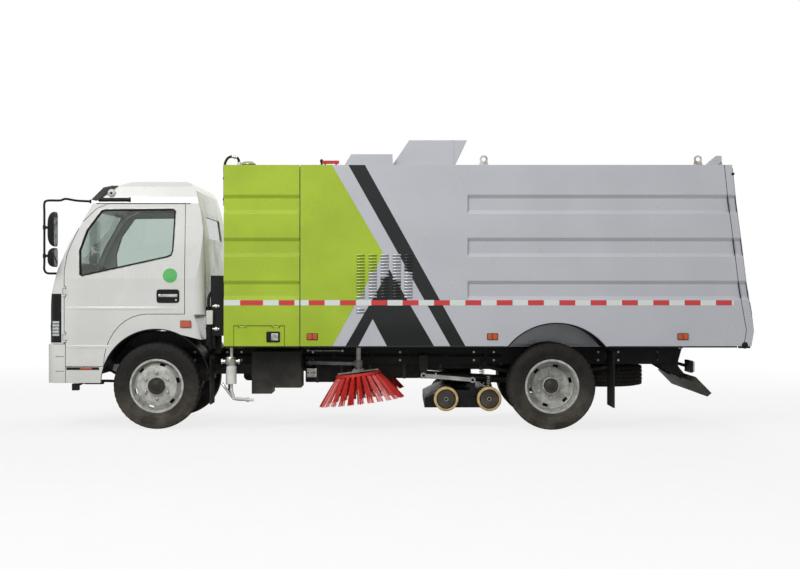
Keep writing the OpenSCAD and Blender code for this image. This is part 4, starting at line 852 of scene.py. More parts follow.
LOUVRE_COLUMNS = (0.575, 0.690, 0.804, 0.919, 1.030)
LOUVRE_PITCH = 0.0286
for side, s in SIDES.items():
    for name, field, slot, finish in (("green_field", GREEN_FIELD, "green_paint", LIME),
                                      ("black_band", BLACK_BAND, "black_plastic", STRIPE),
                                      ("black_vee", BLACK_VEE, "black_plastic", STRIPE)):
        shape = Shape()
        plate_on_side(shape, from_hopper(field), s)
        shape.done(f"{name}_{side}", "hopper", slot, finish)

    # pressed louvres in the colour of the field they stand on, each over a dark strip that is painted shadow of
    # the opening under it
    hoods = {"green": Shape(), "silver": Shape(), "black": Shape()}
    slot_shadows = Shape()
    for column, centre in enumerate(LOUVRE_COLUMNS):
        for row in range(20):
            z = 1.674 - row * LOUVRE_PITCH
            if z < (1.12 if column == 0 else 1.265) or 1.185 < z < 1.262:
                continue
            here = (centre, z)
            field = "silver"
            if inside(here, BLACK_BAND) or inside(here, BLACK_VEE):
                field = "black"
            elif inside(here, GREEN_FIELD):
                field = "green"
            x = HOPPER + centre
            y = s * (SIDE + SKIN * 0.5)
            out = s * 0.0075
            rings = []
            for dx, rise in ((-0.0405, 0.12), (-0.034, 1.0), (0.034, 1.0), (0.0405, 0.12)):
                rings.append([(x + dx, y, z + 0.0095), (x + dx, y + out * rise * 0.55, z + 0.005),
                              (x + dx, y + out * rise, z - 0.002), (x + dx, y + out * rise * 0.8, z - 0.0035),
                              (x + dx, y, z - 0.0035)])
            hoods[field].skin(rings)
            # dark strip under each hood: painted shadow of the louvre's opening
            slot_shadows.prism([(x - 0.0385, z - 0.0125), (x + 0.0385, z - 0.0125), (x + 0.0385, z - 0.0030),
                         (x - 0.0385, z - 0.0030)], "y", s * SIDE, s * (SIDE + 0.0013))
    for field, slot, finish in (("green", "green_paint", LIME), ("silver", "silver_paint", SILVER),
                                ("black", "black_plastic", STRIPE)):
        hoods[field].done(f"louvres_{field}_{side}", "hopper", slot, finish, smooth=60)
    slot_shadows.done(f"louvre_slot_shadows_{side}", "hopper", "black_plastic", SEAL)

    # reflective marking tape: red and white blocks
    tape_z = (1.194, 1.246)
    white, red = Shape(), Shape()
    x, reds = 0.0, [0.080 + 0.2985 * i for i in range(14)]
    for start in reds:
        white.box(*sorted_box((HOPPER + x + 0.002, s * SIDE, tape_z[0]),
                              (HOPPER + start - 0.001, s * (SIDE + SKIN * 2), tape_z[1])))
        red.box(*sorted_box((HOPPER + start, s * SIDE, tape_z[0] + 0.002),
                            (HOPPER + start + 0.150, s * (SIDE + SKIN * 2.2), tape_z[1] - 0.002)))
        x = start + 0.151
    white.box(*sorted_box((HOPPER + x, s * SIDE, tape_z[0]),
                          (HOPPER + 4.131, s * (SIDE + SKIN * 2), tape_z[1])))
    white.done(f"white_tape_{side}", "hopper", "silver_paint", TAPE_WHITE)
    red.done(f"red_tape_{side}", "hopper", "brush_red", TAPE_RED)
    white, red = Shape(), Shape()
    blocks = [(0.158, 0.375), (0.526, 0.674)]
    x = 0.004
    for start, end in blocks + [(MODULE_END - MODULE - 0.003, None)]:
        white.box(*sorted_box((MODULE + x, s * SIDE, tape_z[0]),
                              (MODULE + start - 0.001, s * (SIDE + SKIN * 2), tape_z[1])))
        if end:
            red.box(*sorted_box((MODULE + start, s * SIDE, tape_z[0] + 0.002),
                                (MODULE + end, s * (SIDE + SKIN * 2.2), tape_z[1] - 0.002)))
            x = end + 0.001
    white.done(f"module_white_tape_{side}", "truck", "silver_paint", TAPE_WHITE)
    red.done(f"module_red_tape_{side}", "truck", "brush_red", TAPE_RED)

    # side marker lamps: black base and two ribbed amber lenses
    bases, lenses = Shape(), Shape()
    for along in (0.113, 1.831, 3.645):
        x, z = HOPPER + along, 0.897
        outline = rounded([(x - 0.053, z - 0.032), (x + 0.053, z - 0.032), (x + 0.053, z + 0.032),
                           (x - 0.053, z + 0.032)], 0.008)
        bases.prism(outline, "y", s * SIDE, s * (SIDE + 0.006))
        for near, far in ((-0.048, -0.003), (0.003, 0.048)):
            lens = rounded([(x + near, z - 0.026), (x + far, z - 0.026), (x + far, z + 0.026),
                            (x + near, z + 0.026)],
                           0.006)
            lenses.prism(lens, "y", s * (SIDE + 0.004), s * (SIDE + 0.016))
    bases.done(f"marker_bases_{side}", "hopper", "black_plastic", BLACK_PLASTIC, round_edges=0.001)
    lenses.done(f"marker_lenses_{side}", "hopper", "brush_red", AMBER, round_edges=0.003)

    # hatch latch: dark dished recess with a sprung silver paddle
    recess, paddle = Shape(), Shape()
    x0, x1, z0, z1 = MODULE + 0.407, MODULE + 0.536, 0.843, 0.945
    face = abs(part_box("hatch_left")[0].y)
    frame_line = rounded([(x0, z0), (x1, z0), (x1, z1), (x0, z1)], 0.012)
    recess.strip_round(frame_line, "y", s * (face - 0.002), s * (face + 0.003), 0.014)
    recess.prism(shrunk(frame_line, 0.012), "y", s * (face - 0.003), s * (face + 0.0004))
    recess.done(f"latch_recess_{side}", f"hatch_{side}", "black_plastic", BLACK_PLASTIC, round_edges=0.001)
    grip = rounded([(x0 + 0.047, z0 + 0.018), (x1 - 0.016, z0 + 0.018), (x1 - 0.016, z1 - 0.016),
                    (x0 + 0.047, z1 - 0.016)], 0.006)
    paddle.prism(grip, "y", s * (face + 0.0003), s * (face + 0.0065))
    paddle.rod((x0 + 0.086, s * (face + 0.004), z1 - 0.034), (x0 + 0.086, s * (face + 0.009), z1 - 0.034),
               0.011, 20)
    paddle.done(f"latch_paddle_{side}", f"hatch_{side}", "bare_steel", STEEL, round_edges=0.002)

    # rubber edge along the body's foot
    foot = Shape()
    foot.box(*sorted_box((MODULE + 0.002, s * (SIDE - 0.030), FLOOR - 0.014),
                         (MODULE_END - 0.002, s * (SIDE - 0.002), FLOOR)))
    foot.done(f"module_foot_rubber_{side}", "truck", "flap_rubber", SEAL, round_edges=0.003)
    foot = Shape()
    for near, far in ((HOPPER + 0.002, REAR - 0.46), (REAR + 0.54, BACK - 0.16)):
        foot.box(*sorted_box((near, s * (SIDE - 0.030), FLOOR - 0.014), (far, s * (SIDE - 0.002), FLOOR)))
    foot.done(f"hopper_foot_rubber_{side}", "hopper", "flap_rubber", SEAL, round_edges=0.003)

    # rear wheel arch liner
    liner = Shape()
    centre = (REAR + 0.038, AXLE_Z + 0.012)
    arch_top = 0.598
    rings = []
    low_angle = math.asin((FLOOR - 0.012 - centre[1]) / arch_top)
    for i in range(41):
        t = low_angle + (math.pi - 2 * low_angle) * i / 40
        c, n = math.cos(t), math.sin(t)
        rings.append([(centre[0] + c * r, s * y, centre[1] + n * r)
                      for r, y in ((arch_top, 0.60), (arch_top, SIDE + 0.001),
                                   (arch_top - 0.010, SIDE + 0.001),
                                   (arch_top - 0.010, 0.60))])
    liner.skin(rings)
    liner.done(f"rear_arch_liner_{side}", "hopper", "black_plastic", BLACK_PLASTIC, smooth=30)

    # rear door's rubber seal, hinge-side knob and closing latch
    seal = Shape()
    rear_edge = [(BACK - 0.025, FLOOR), (BACK, FLOOR + 0.149), (BACK - 0.045, FLOOR + 0.411),
                 (BACK - 0.076, FLOOR + 0.602),
                 (BACK - 0.129, FLOOR + 1.034), (BACK - 0.175, FLOOR + 1.380), (BACK - 0.210, ROOF)]
    for (xa, za), (xb, zb) in zip(rear_edge, rear_edge[1:]):
        seal.prism([(xa - 0.0765, za), (xb - 0.0765, zb), (xb - 0.0705, zb), (xa - 0.0705, za)], "y",
                   s * (SIDE - 0.045), s * (SIDE - 0.003))
    seal.done(f"rear_door_seal_{side}", "hopper", "flap_rubber", SEAL)
    latch = Shape()
    x, z = BACK - 0.088, FLOOR + 0.010
    latch.turned([(0, 0.034), (0.010, 0.034), (0.014, 0.028), (0.014, 0.012), (0.020, 0.010), (0.020, 0.0)],
                 (x, s * (SIDE - 0.012), z), (0, s, 0), 28)
    latch.box(*sorted_box((x - 0.055, s * (SIDE - 0.06), z - 0.030),
                          (x + 0.055, s * (SIDE - 0.014), z - 0.006)))
    latch.rod((BACK - 0.203, s * (SIDE - 0.004), ROOF - 0.087),
              (BACK - 0.203, s * (SIDE + 0.016), ROOF - 0.087), 0.014, 18)
    latch.done(f"rear_latch_{side}", "hopper", "black_plastic", BLACK_PLASTIC, round_edges=0.002)

    # front module: rivets down its corners
    rivets = Shape()
    for k in range(17):
        z = FLOOR + 0.055 + k * 0.101
        rivets.turned([(0, 0.0055), (0.0012, 0.0050), (0.0022, 0.0030), (0.0024, 0.0)],
                      (MODULE_END - 0.020, s * (SIDE - 0.0003), z), (0, s, 0), 10)
    rivets.done(f"module_rivets_{side}", "truck", "green_paint", LIME, smooth=60)

# green roof over the green field, ahead of the ducts
shape = Shape()
shape.prism([(HOPPER + 0.002, -SIDE + 0.002), (HOPPER + 0.300, -SIDE + 0.002), (HOPPER + 0.300, SIDE - 0.002),
             (HOPPER + 0.002, SIDE - 0.002)], "z", ROOF - 0.0002, ROOF + SKIN)
shape.done("green_roof_field", "hopper", "green_paint", LIME)

# ---------------------------------------------------------------- roof fittings

duct_low, duct_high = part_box("roof_ducts")
shape = Shape()
hood_front = HOPPER + 0.882
for x in (duct_high.x - 0.141,):
    for s in (-1, 1):
        shape.box(*sorted_box((x - 0.012, s * 0.556, ROOF + 0.004),
                              (x + 0.012, s * 0.566, duct_high.z - 0.004)))
    shape.box((x - 0.012, -0.560, duct_high.z - 0.004), (x + 0.012, 0.560, duct_high.z - 0.0004))
for s in (-1, 1):
    shape.box(*sorted_box((duct_low.x + 0.012, s * 0.652, ROOF), (HOPPER + 0.872, s * 0.672, ROOF + 0.006)))
    shape.box(*sorted_box((hood_front + 0.012, s * 0.562, ROOF),
                          (duct_high.x - 0.145, s * 0.582, ROOF + 0.006)))
    for k in range(9):
        shape.hex_head((duct_low.x + 0.05 + k * 0.048, s * 0.662, ROOF + 0.006), (0, 0, 1), 0.011, 0.006)
    for k in range(12):
        shape.hex_head((hood_front + 0.04 + k * 0.048, s * 0.572, ROOF + 0.006), (0, 0, 1), 0.011, 0.006)
shape.done("duct_flanges", "hopper", "silver_paint", SILVER, round_edges=0.0012)
# outlet mesh inside the open hood
shape = Shape()
for k in range(23):
    y = -0.53 + k * 0.048
    shape.rod((duct_high.x - 0.020, y, duct_high.z - 0.012), (duct_high.x - 0.135, y, ROOF + 0.030), 0.003, 6)
for k in range(6):
    f = (k + 0.5) / 6
    x = duct_high.x - 0.020 - 0.115 * f
    z = duct_high.z - 0.012 - (duct_high.z - ROOF - 0.042) * f
    shape.rod((x, -0.545, z), (x, 0.545, z), 0.003, 6)
shape.done("outlet_mesh", "hopper", "bare_steel", STEEL)

shape = Shape()
for s in (-1, 1):
    shape.box(*sorted_box((HOPPER + 0.207, s * (SIDE - 0.075), ROOF + 0.013),
                          (HOPPER + 0.368, s * (SIDE - 0.040), ROOF + 0.045)))
    shape.box(*sorted_box((HOPPER + 0.225, s * (SIDE - 0.066), ROOF),
                          (HOPPER + 0.245, s * (SIDE - 0.049), ROOF + 0.016)))
    shape.box(*sorted_box((HOPPER + 0.330, s * (SIDE - 0.066), ROOF),
                          (HOPPER + 0.350, s * (SIDE - 0.049), ROOF + 0.016)))
shape.done("red_roof_handles", "hopper", "brush_red", RED_PAINT, round_edges=0.004)
shape = Shape()
for s in (-1, 1):
    shape.turned([(0, 0.011), (0.022, 0.009), (0.030, 0.015), (0.044, 0.017), (0.056, 0.012), (0.060, 0.0)],
                 (HOPPER + 0.200, s * (SIDE - 0.058), ROOF), (0, 0, 1), 20)
shape.done("roof_knobs", "hopper", "black_plastic", BLACK_PLASTIC)

shape = Shape()
pipe = curve_points([(MODULE - 0.001, -SIDE + 0.095, 2.150), (MODULE - 0.001, -SIDE + 0.095, 2.420),
                     (MODULE + 0.000, -SIDE + 0.095, 2.540), (MODULE + 0.030, -SIDE + 0.095, 2.605),
                     (MODULE + 0.085, -SIDE + 0.095, 2.622), (MODULE + 0.128, -SIDE + 0.095, 2.600),
                     (MODULE + 0.140, -SIDE + 0.095, 2.545)], 6)
shape.tube(pipe, 0.0125, 12)
for z in (2.20, 2.40):
    shape.box((MODULE - 0.016, -SIDE + 0.075, z), (MODULE + 0.004, -SIDE + 0.115, z + 0.022))
shape.done("filler_pipe", "truck", "flap_rubber", SEAL, round_edges=0.001)
shape = Shape()
shape.turned([(0, 0.016), (0.020, 0.016), (0.022, 0.020), (0.034, 0.020), (0.036, 0.016), (0.052, 0.016)],
             (MODULE + 0.070, -SIDE + 0.095, 2.622), (1, 0, -0.18), 20)
shape.turned([(0, 0.030), (0.008, 0.030), (0.010, 0.018), (0.034, 0.016)],
             (MODULE + 0.140, -SIDE + 0.095, ROOF), (0, 0, 1), 24)
shape.done("filler_fitting", "truck", "bare_steel", STEEL, round_edges=0.001)
shape = Shape()
for s in (-1, 1):
    shape.turned([(0, 0.080), (0.010, 0.080), (0.013, 0.074)], (MODULE + 0.222, s * (SIDE - 0.16), ROOF),
                 (0, 0, 1), 40)
shape.done("beacon_feet", "truck", "black_plastic", BLACK_PLASTIC)
shape = Shape()
for s in (-1, 1):
    shape.turned([(0.010, 0.073), (0.024, 0.072), (0.036, 0.062), (0.043, 0.045), (0.047, 0.020),
                  (0.048, 0.0)],
                 (MODULE + 0.222, s * (SIDE - 0.16), ROOF), (0, 0, 1), 40)
shape.done("flat_beacons", "truck", "lamp_clear", BEACON_LENS)

# ---------------------------------------------------------------- cab

CAB_HALF = 1.0
LEAN_FROM, LEAN_TO, LEAN = 1.450, 2.177, 0.070
FACE = [(-1.042, 0.826), (-1.036, 1.054), (-1.010, 1.300), (-0.940, 1.542), (-0.832, 1.796), (-0.716, 1.991),
        (-0.609, 2.186), (-0.500, 2.276), (-0.384, 2.350)]  # front of the cab from the front axle, and height
WINDOW = [(-0.530, 2.104), (-0.500, 2.114), (0.160, 2.120), (0.182, 2.100), (0.162, 1.718), (0.146, 1.676),
          (0.106, 1.657), (-0.705, 1.478), (-0.728, 1.490), (-0.735, 1.718), (-0.667, 1.915)]


def lean(z):
    return LEAN * min(max((z - LEAN_FROM) / (LEAN_TO - LEAN_FROM), 0.0), 1.35)


def face_x(z):
    for (xa, za), (xb, zb) in zip(FACE, FACE[1:]):
        if z <= zb:
            return FRONT + xa + (xb - xa) * (z - za) / (zb - za)
    return FRONT + FACE[-1][0]


def leaned(shape, s):
    """Moves a piece drawn on an upright side in to the leaning side of the cab."""
    for v in shape.mesh.verts:
        v.co.y -= s * lean(v.co.z)
    return shape


def from_front(outline):
    return [(FRONT + x, z) for x, z in outline]


for side, s in SIDES.items():
    door = f"door_{side}"
    window = from_front(WINDOW)
    seal = Shape()
    seal.strip_round(shrunk(window, -0.006), "y", s * (CAB_HALF - 0.0005), s * (CAB_HALF + 0.0030), 0.0065)
    seal.strip_round(shrunk(window, 0.0005), "y", s * (CAB_HALF - 0.020), s * (CAB_HALF + 0.0020), 0.007)
    leaned(seal, s).done(f"window_seal_{side}", door, "flap_rubber", SEAL, round_edges=0.001)
    trim = Shape()
    trim.strip_round(shrunk(window, -0.010), "y", s * (CAB_HALF - 0.0005), s * (CAB_HALF + 0.0022), 0.005)
    leaned(trim, s).done(f"window_trim_{side}", door, "bare_steel", STEEL)
    print_band = Shape()
    print_band.strip_round(shrunk(window, 0.007), "y", s * (CAB_HALF - 0.0205), s * (CAB_HALF - 0.0200),
                           0.006)
    leaned(print_band, s).done(f"window_print_{side}", door, "black_plastic", BLACK_PLASTIC)

    # handle: dark dished plate with a silver pull across it
    x0, x1, z0, z1 = FRONT + 0.008, FRONT + 0.227, 1.217, 1.347
    plate = rounded([(x0, z0), (x1, z0), (x1, z1), (x0, z1)], 0.030)
    handle = Shape()
    handle.strip_round(plate, "y", s * (CAB_HALF - 0.001), s * (CAB_HALF + 0.0050), 0.016)
    handle.prism(shrunk(plate, 0.014), "y", s * (CAB_HALF - 0.001), s * (CAB_HALF + 0.0006))
    handle.done(f"handle_plate_{side}", door, "black_plastic", BLACK_PLASTIC, round_edges=0.0025)
    pull = Shape()
    rings = []
    for k in range(13):
        f = k / 12
        x = x0 + 0.018 + (x1 - x0 - 0.036) * f
        out = 0.004 + 0.009 * math.sin(math.pi * f)
        half = 0.015 + 0.004 * math.sin(math.pi * f)
        rings.append([(x, s * (CAB_HALF + 0.0004), 1.287 - half),
                      (x, s * (CAB_HALF + out), 1.287 - half * 0.6),
                      (x, s * (CAB_HALF + out), 1.287 + half * 0.6),
                      (x, s * (CAB_HALF + 0.0004), 1.287 + half)])
    pull.skin(rings)
    pull.turned([(0, 0.010), (0.003, 0.010), (0.0035, 0.0)], (x1 - 0.032, s * (CAB_HALF + 0.0005), 1.245),
                (0, s, 0), 20)
    pull.done(f"handle_pull_{side}", door, "bare_steel", STEEL, round_edges=0.0015)

    # plain green disc
    disc = Shape()
    disc.turned([(0, 0.070), (0.0014, 0.070)] + [(0.0016, 0.070 * k / 12) for k in range(11, -1, -1)],
                (FRONT + 0.137, s * (CAB_HALF - 0.0002), 1.480), (0, s, 0), 48)
    leaned(disc, s).done(f"door_disc_{side}", door, "green_paint", GREEN_DISC)
    rim = Shape()
    rim.turned([(0, 0.073), (0.0012, 0.073), (0.0012, 0.0695), (0, 0.0695)],
               (FRONT + 0.137, s * (CAB_HALF - 0.0002), 1.480), (0, s, 0),
               48, looped=True)
    leaned(rim, s).done(f"door_disc_edge_{side}", door, "filter_white", TAPE_WHITE)

    # pressed crease lines along the door, and dark strips with a reflector over its foot: the strips are painted
    # shade in the pressed channel there
    crease = Shape()
    for z, x_end, rise in ((1.168, 0.20, 0.0045), (0.800, -0.420, 0.0035)):
        rings = []
        for k in range(17):
            x = FRONT - 0.862 + (x_end + 0.862) * k / 16
            swell = rise * min(1.0, 4 * k / 16, 4 * (1 - k / 16))
            rings.append([(x, s * (CAB_HALF - 0.0006), z - 0.026),
                          (x, s * (CAB_HALF + swell * 0.55), z - 0.009),
                          (x, s * (CAB_HALF + swell), z), (x, s * (CAB_HALF + swell * 0.2), z + 0.010),
                          (x, s * (CAB_HALF - 0.0006), z + 0.016)])
        crease.skin(rings)
    crease.done(f"door_creases_{side}", door, "cab_white", CAB_WHITE, smooth=70)
    # dark strips: painted shade of the sill's pressed channel
    groove = Shape()
    for z in (0.577, 0.597):
        groove.box(*sorted_box((FRONT - 0.857, s * (CAB_HALF - 0.002), z - 0.003),
                               (FRONT - 0.542, s * (CAB_HALF + 0.0016), z + 0.003)))
    groove.box(*sorted_box((FRONT - 0.857, s * (CAB_HALF - 0.002), 0.580),
                           (FRONT - 0.542, s * (CAB_HALF + 0.0006), 0.594)))
    groove.done(f"sill_groove_shade_{side}", "cab", "black_plastic", BLACK_PLASTIC, round_edges=0.0006)
    marker = Shape()
    marker.box(*sorted_box((FRONT - 0.725, s * CAB_HALF, 0.5795),
                           (FRONT - 0.610, s * (CAB_HALF + 0.004), 0.5945)))
    marker.done(f"sill_reflector_{side}", "cab", "brush_red", AMBER, round_edges=0.001)

    # indicator behind the wheel arch
    housing, lens = Shape(), Shape()
    x0, x1, z0, z1 = FRONT + 0.235, FRONT + 0.345, 0.980, 1.048
    around = rounded([(x0, z0), (x1, z0), (x1 - 0.006, z1), (x0, z1)], 0.008)
    housing.prism(around, "y", s * (CAB_HALF - 0.001), s * (CAB_HALF + 0.006))
    lens.prism(shrunk(around, 0.0045), "y", s * (CAB_HALF + 0.004), s * (CAB_HALF + 0.017))
    housing.done(f"indicator_base_{side}", "cab", "black_plastic", BLACK_PLASTIC, round_edges=0.001)
    lens.done(f"indicator_lens_{side}", "cab", "brush_red", AMBER, round_edges=0.004)

    # dark strip at the roof's foot: painted shadow under the drip rail
    drip_rail_shadow = Shape()
    drip_rail_shadow.box(*sorted_box((FRONT - 0.585, s * (CAB_HALF - 0.012), LEAN_TO - 0.004),
                           (FRONT + 0.325, s * (CAB_HALF + 0.006), LEAN_TO + 0.002)))
    # dark strip: painted shadow under the drip rail
    leaned(drip_rail_shadow, s).done(f"drip_rail_shadow_line_{side}", "cab", "flap_rubber", SEAL, round_edges=0.001)

    # liner of the front wheel arch
    liner = Shape()
    rings = []
    low = math.asin(0.10 / 0.53)
    for i in range(41):
        t = low + (math.pi - 2 * low) * i / 40
        c, n = math.cos(t), math.sin(t)
        rings.append([(FRONT + c * r, s * y, 0.440 + n * r)
                      for r, y in ((0.5285, 0.47), (0.5285, CAB_HALF - 0.006), (0.519, CAB_HALF - 0.006),
                                   (0.519, 0.47))])
    liner.skin(rings)
    liner.done(f"front_arch_liner_{side}", "cab", "black_plastic", BLACK_PLASTIC, smooth=30)

    # mirrors: rounded heads with silvered glass behind, on the tube frame; the glass is coloured near black as a
    # painted reflection
    heads, glasses, tubes = Shape(), Shape(), Shape()
    tube_x, tube_y = FRONT - 1.044, s * 1.105
    path = curve_points([(FRONT - 0.640, s * 0.905, 2.196), (FRONT - 0.760, s * 0.995, 2.199),
                         (FRONT - 0.850, s * 1.060, 2.212),
                         (FRONT - 0.900, s * 1.080, 2.196), (FRONT - 1.015, s * 1.103, 2.193),
                         (tube_x, tube_y, 2.165),
                         (tube_x, tube_y, 2.09)], 5)
    low_path = curve_points([(tube_x, tube_y, 1.60), (tube_x, tube_y, 1.535),
                             (FRONT - 1.022, s * 1.085, 1.503),
                             (FRONT - 0.975, s * 0.985, 1.500), (FRONT - 0.940, s * 0.925, 1.500)], 5)
    tubes.tube(path + low_path, 0.0108, 12)
    for z in (1.667, 1.937):
        tubes.turned([(-0.020, 0.0155), (0.020, 0.0155)], (tube_x, tube_y, z), (0, 0, 1), 20)
        tubes.box(*sorted_box((tube_x, tube_y - 0.011, z - 0.012),
                              (tube_x + 0.030, tube_y + 0.011, z + 0.012)))
    tubes.turned([(0, 0.020), (0.012, 0.016), (0.020, 0.0)], (FRONT - 0.640, s * 0.905, 2.196),
                 (-1, s * 0.6, 0), 20)
    tubes.done(f"mirror_frame_{side}", "cab", "black_plastic", CHASSIS, round_edges=0.0015)
    for z0, z1 in ((1.561, 1.743), (1.757, 2.087)):
        outline = rounded([(s * 0.967, z0), (s * 1.148, z0), (s * 1.148, z1), (s * 0.967, z1)], 0.050)
        middle = (s * 1.0575, (z0 + z1) / 2)
        rings = []
        for x, size in ((-0.945, 1.0), (-0.958, 1.0), (-0.975, 0.96), (-0.995, 0.84), (-1.010, 0.64),
                        (-1.019, 0.34)):
            rings.append([(FRONT + x, middle[0] + (y - middle[0]) * size, middle[1] + (z - middle[1]) * size)
                          for y, z in outline])
        heads.skin(rings)
        face = [(y, z) for y, z in shrunk(outline, 0.010)]
        glasses.prism(face, "x", FRONT - 0.947, FRONT - 0.9447)
    for v in glasses.mesh.verts:
        v.co.x = min(v.co.x, FRONT - 0.9447)
    heads.done(f"mirror_heads_{side}", "cab", "black_plastic", BLACK_PLASTIC, smooth=55, over=["mirrors"])
    glasses.done(f"mirror_glass_{side}", "cab", "bare_steel", DARKENED_MIRROR)

    # headlight: clear cover over two bowls, white lens slats at the corner
    lens, bowls, corner = Shape(), Shape(), Shape()
    for z, r in ((0.985, 0.058), (1.115, 0.050)):
        x = face_x(z) + 0.004
        bowls.turned([(0.0, r), (0.004, r), (0.004, r * 0.92), (0.020, r * 0.62), (0.030, r * 0.30),
                      (0.030, 0.0)],
                     (x, s * 0.795, z), (1, 0, 0), 36)
        bowls.turned([(0.0, r * 0.35), (-0.004, r * 0.30), (-0.006, 0.0)], (x + 0.026, s * 0.795, z),
                     (1, 0, 0), 20)
    bowls.done(f"headlight_bowls_{side}", "cab", "rim_silver", BRIGHT, smooth=60)
    for z in (0.985, 1.115):
        lens.turned([(0, 0.062), (0.003, 0.062), (0.006, 0.050), (0.008, 0.020), (0.008, 0.0)],
                    (face_x(z) + 0.001, s * 0.795, z), (-1, 0, 0), 36)
    lens.done(f"headlight_glass_{side}", "cab", "lamp_clear", CLEAR_LENS, smooth=60)
    for k in range(5):
        z = 0.900 + k * 0.030
        corner.box(*sorted_box((FRONT - 0.990, s * (CAB_HALF - 0.010), z),
                               (FRONT - 0.925, s * (CAB_HALF + 0.002), z + 0.022)))
    corner.done(f"headlight_corner_{side}", "cab", "lamp_clear", WHITE_LENS, round_edges=0.003)

    # corner camera on the visor's end
    camera_body, camera_eye = Shape(), Shape()
    camera_body.turned([(0, 0.040), (0.034, 0.040), (0.046, 0.034), (0.054, 0.020), (0.056, 0.0)],
                       (FRONT - 0.440, s * 0.872, 2.276), (0, s, 0), 28)
    camera_eye.turned([(0, 0.013), (0.004, 0.012), (0.006, 0.0)], (FRONT - 0.440, s * 0.927, 2.276),
                      (0, s, 0), 20)
    camera_body.done(f"corner_camera_{side}", "cab", "filter_white", FILTER_WHITE, smooth=50)
    camera_eye.done(f"camera_eye_{side}", "cab", "black_plastic", STRIPE)
    bar = Shape()
    bar.rod((FRONT - 0.560, s * 0.925, 2.213), (FRONT - 0.255, s * 0.925, 2.213), 0.018, 16)
    bar.turned([(0, 0.022), (0.016, 0.022)], (FRONT - 0.270, s * 0.925, 2.213), (1, 0, 0), 20)
    bar.rod((FRONT - 0.300, s * 0.925, 2.213), (FRONT - 0.300, s * 0.895, 2.220), 0.010, 10)
    bar.rod((FRONT - 0.500, s * 0.925, 2.213), (FRONT - 0.500, s * 0.895, 2.220), 0.010, 10)
    bar.done(f"visor_bar_{side}", "cab", "black_plastic", BLACK_PLASTIC, round_edges=0.002)

# ---------------------------------------------------------------- front of the cab and its inside

BLACK_TRIM = ("black_plastic", BLACK_PLASTIC)
grille = Shape()
for k in range(6):
    z = 0.915 + k * 0.047
    x = face_x(z)
    grille.prism([(x - 0.006, z), (x + 0.004, z), (x + 0.004, z + 0.026), (x - 0.003, z + 0.026)], "y", -0.60,
                 0.60)
for s in (-1, 1):
    grille.prism([(face_x(0.905) - 0.004, 0.905), (face_x(0.905) + 0.004, 0.905),
                  (face_x(1.18) + 0.004, 1.18),
                  (face_x(1.18) - 0.004, 1.18)], "y", s * 0.60, s * 0.612)
grille.done("cab_grille", "cab", *BLACK_TRIM, round_edges=0.0015)

surround = [(-0.874, 1.586), (0.874, 1.586), (0.828, 2.130), (-0.828, 2.130)]
band = Shape()
inner = shrunk(surround, 0.020)
outer = shrunk(surround, -0.014)
rings = []
for i in range(4):
    for f in [k / 12 for k in range(12)]:
        o = [outer[i][j] + (outer[(i + 1) % 4][j] - outer[i][j]) * f for j in (0, 1)]
        n = [inner[i][j] + (inner[(i + 1) % 4][j] - inner[i][j]) * f for j in (0, 1)]
        rings.append([(face_x(o[1]) - 0.0005, *o), (face_x(o[1]) - 0.0045, *o), (face_x(n[1]) - 0.0045, *n),
                      (face_x(n[1]) + 0.0080, *n)])
band.skin(rings, looped=True)
band.done("windscreen_seal", "cab", "flap_rubber", SEAL)

wipers = Shape()
for y in (-0.52, 0.10):
    pivot = (face_x(1.555) - 0.012, y, 1.555)
    wipers.turned([(-0.012, 0.020), (0.006, 0.020), (0.012, 0.012), (0.014, 0.0)], pivot, (-1, 0, 0.4), 20)
    elbow = (face_x(1.60) - 0.020, y + 0.30, 1.600)
    wipers.tube([pivot, (face_x(1.58) - 0.020, y + 0.15, 1.582), elbow], 0.006, 8)
    wipers.prism([(y + 0.02, 1.602), (y + 0.58, 1.612), (y + 0.58, 1.618), (y + 0.02, 1.608)], "x",
                 face_x(1.606) - 0.016,
                 face_x(1.606) - 0.004)
wipers.done("wipers", "cab", *BLACK_TRIM)

bumper_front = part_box("bumper")[0].x
fog, fog_lens = Shape(), Shape()
for s in (-1, 1):
    outline = rounded([(s * 0.60, 0.610), (s * 0.76, 0.610), (s * 0.76, 0.718), (s * 0.60, 0.718)], 0.018)
    fog.strip_round(outline, "x", bumper_front - 0.0004, bumper_front + 0.010, 0.012)
    fog.prism(shrunk(outline, 0.010), "x", bumper_front - 0.0003, bumper_front + 0.004)
    fog_lens.turned([(0, 0.040), (0.004, 0.038), (0.008, 0.026), (0.009, 0.0)],
                    (bumper_front - 0.0006, s * 0.68, 0.664),
                    (-1, 0, 0), 32)
for k in range(3):
    fog.prism([(-0.42, 0.640 + k * 0.040), (0.42, 0.640 + k * 0.040), (0.42, 0.662 + k * 0.040),
               (-0.42, 0.662 + k * 0.040)],
              "x", bumper_front - 0.0004, bumper_front + 0.004)
fog.done("bumper_trim", "cab", *BLACK_TRIM, round_edges=0.0006)
for v in fog_lens.mesh.verts:
    v.co.x = max(v.co.x, CAD_BOX[0][0] + 0.0002)
fog_lens.done("fog_lamps", "cab", "lamp_clear", CLEAR_LENS, smooth=60)
plate = Shape()
rings = []
for z in (0.484, 0.556):
    x = bumper_front + (0.560 - z) * 0.1375
    rings.append([(x - 0.0004, -0.22, z), (x - 0.0004, 0.22, z), (x + 0.004, 0.22, z), (x + 0.004, -0.22, z)])
plate.skin(rings)
plate.done("blank_front_plate", "cab", "filter_white", TAPE_WHITE)

for side, s in SIDES.items():
    corner = Shape()
    # thin dark lines on the bumper's side: painted shade of its groove lines
    corner.box(*sorted_box((FRONT - 0.960, s * 0.9975, 0.700), (FRONT - 0.880, s * 1.0012, 0.704)))
    corner.box(*sorted_box((FRONT - 0.960, s * 0.9975, 0.560), (FRONT - 0.880, s * 1.0012, 0.564)))
    corner.done(f"bumper_groove_shadows_{side}", "cab", *BLACK_TRIM)

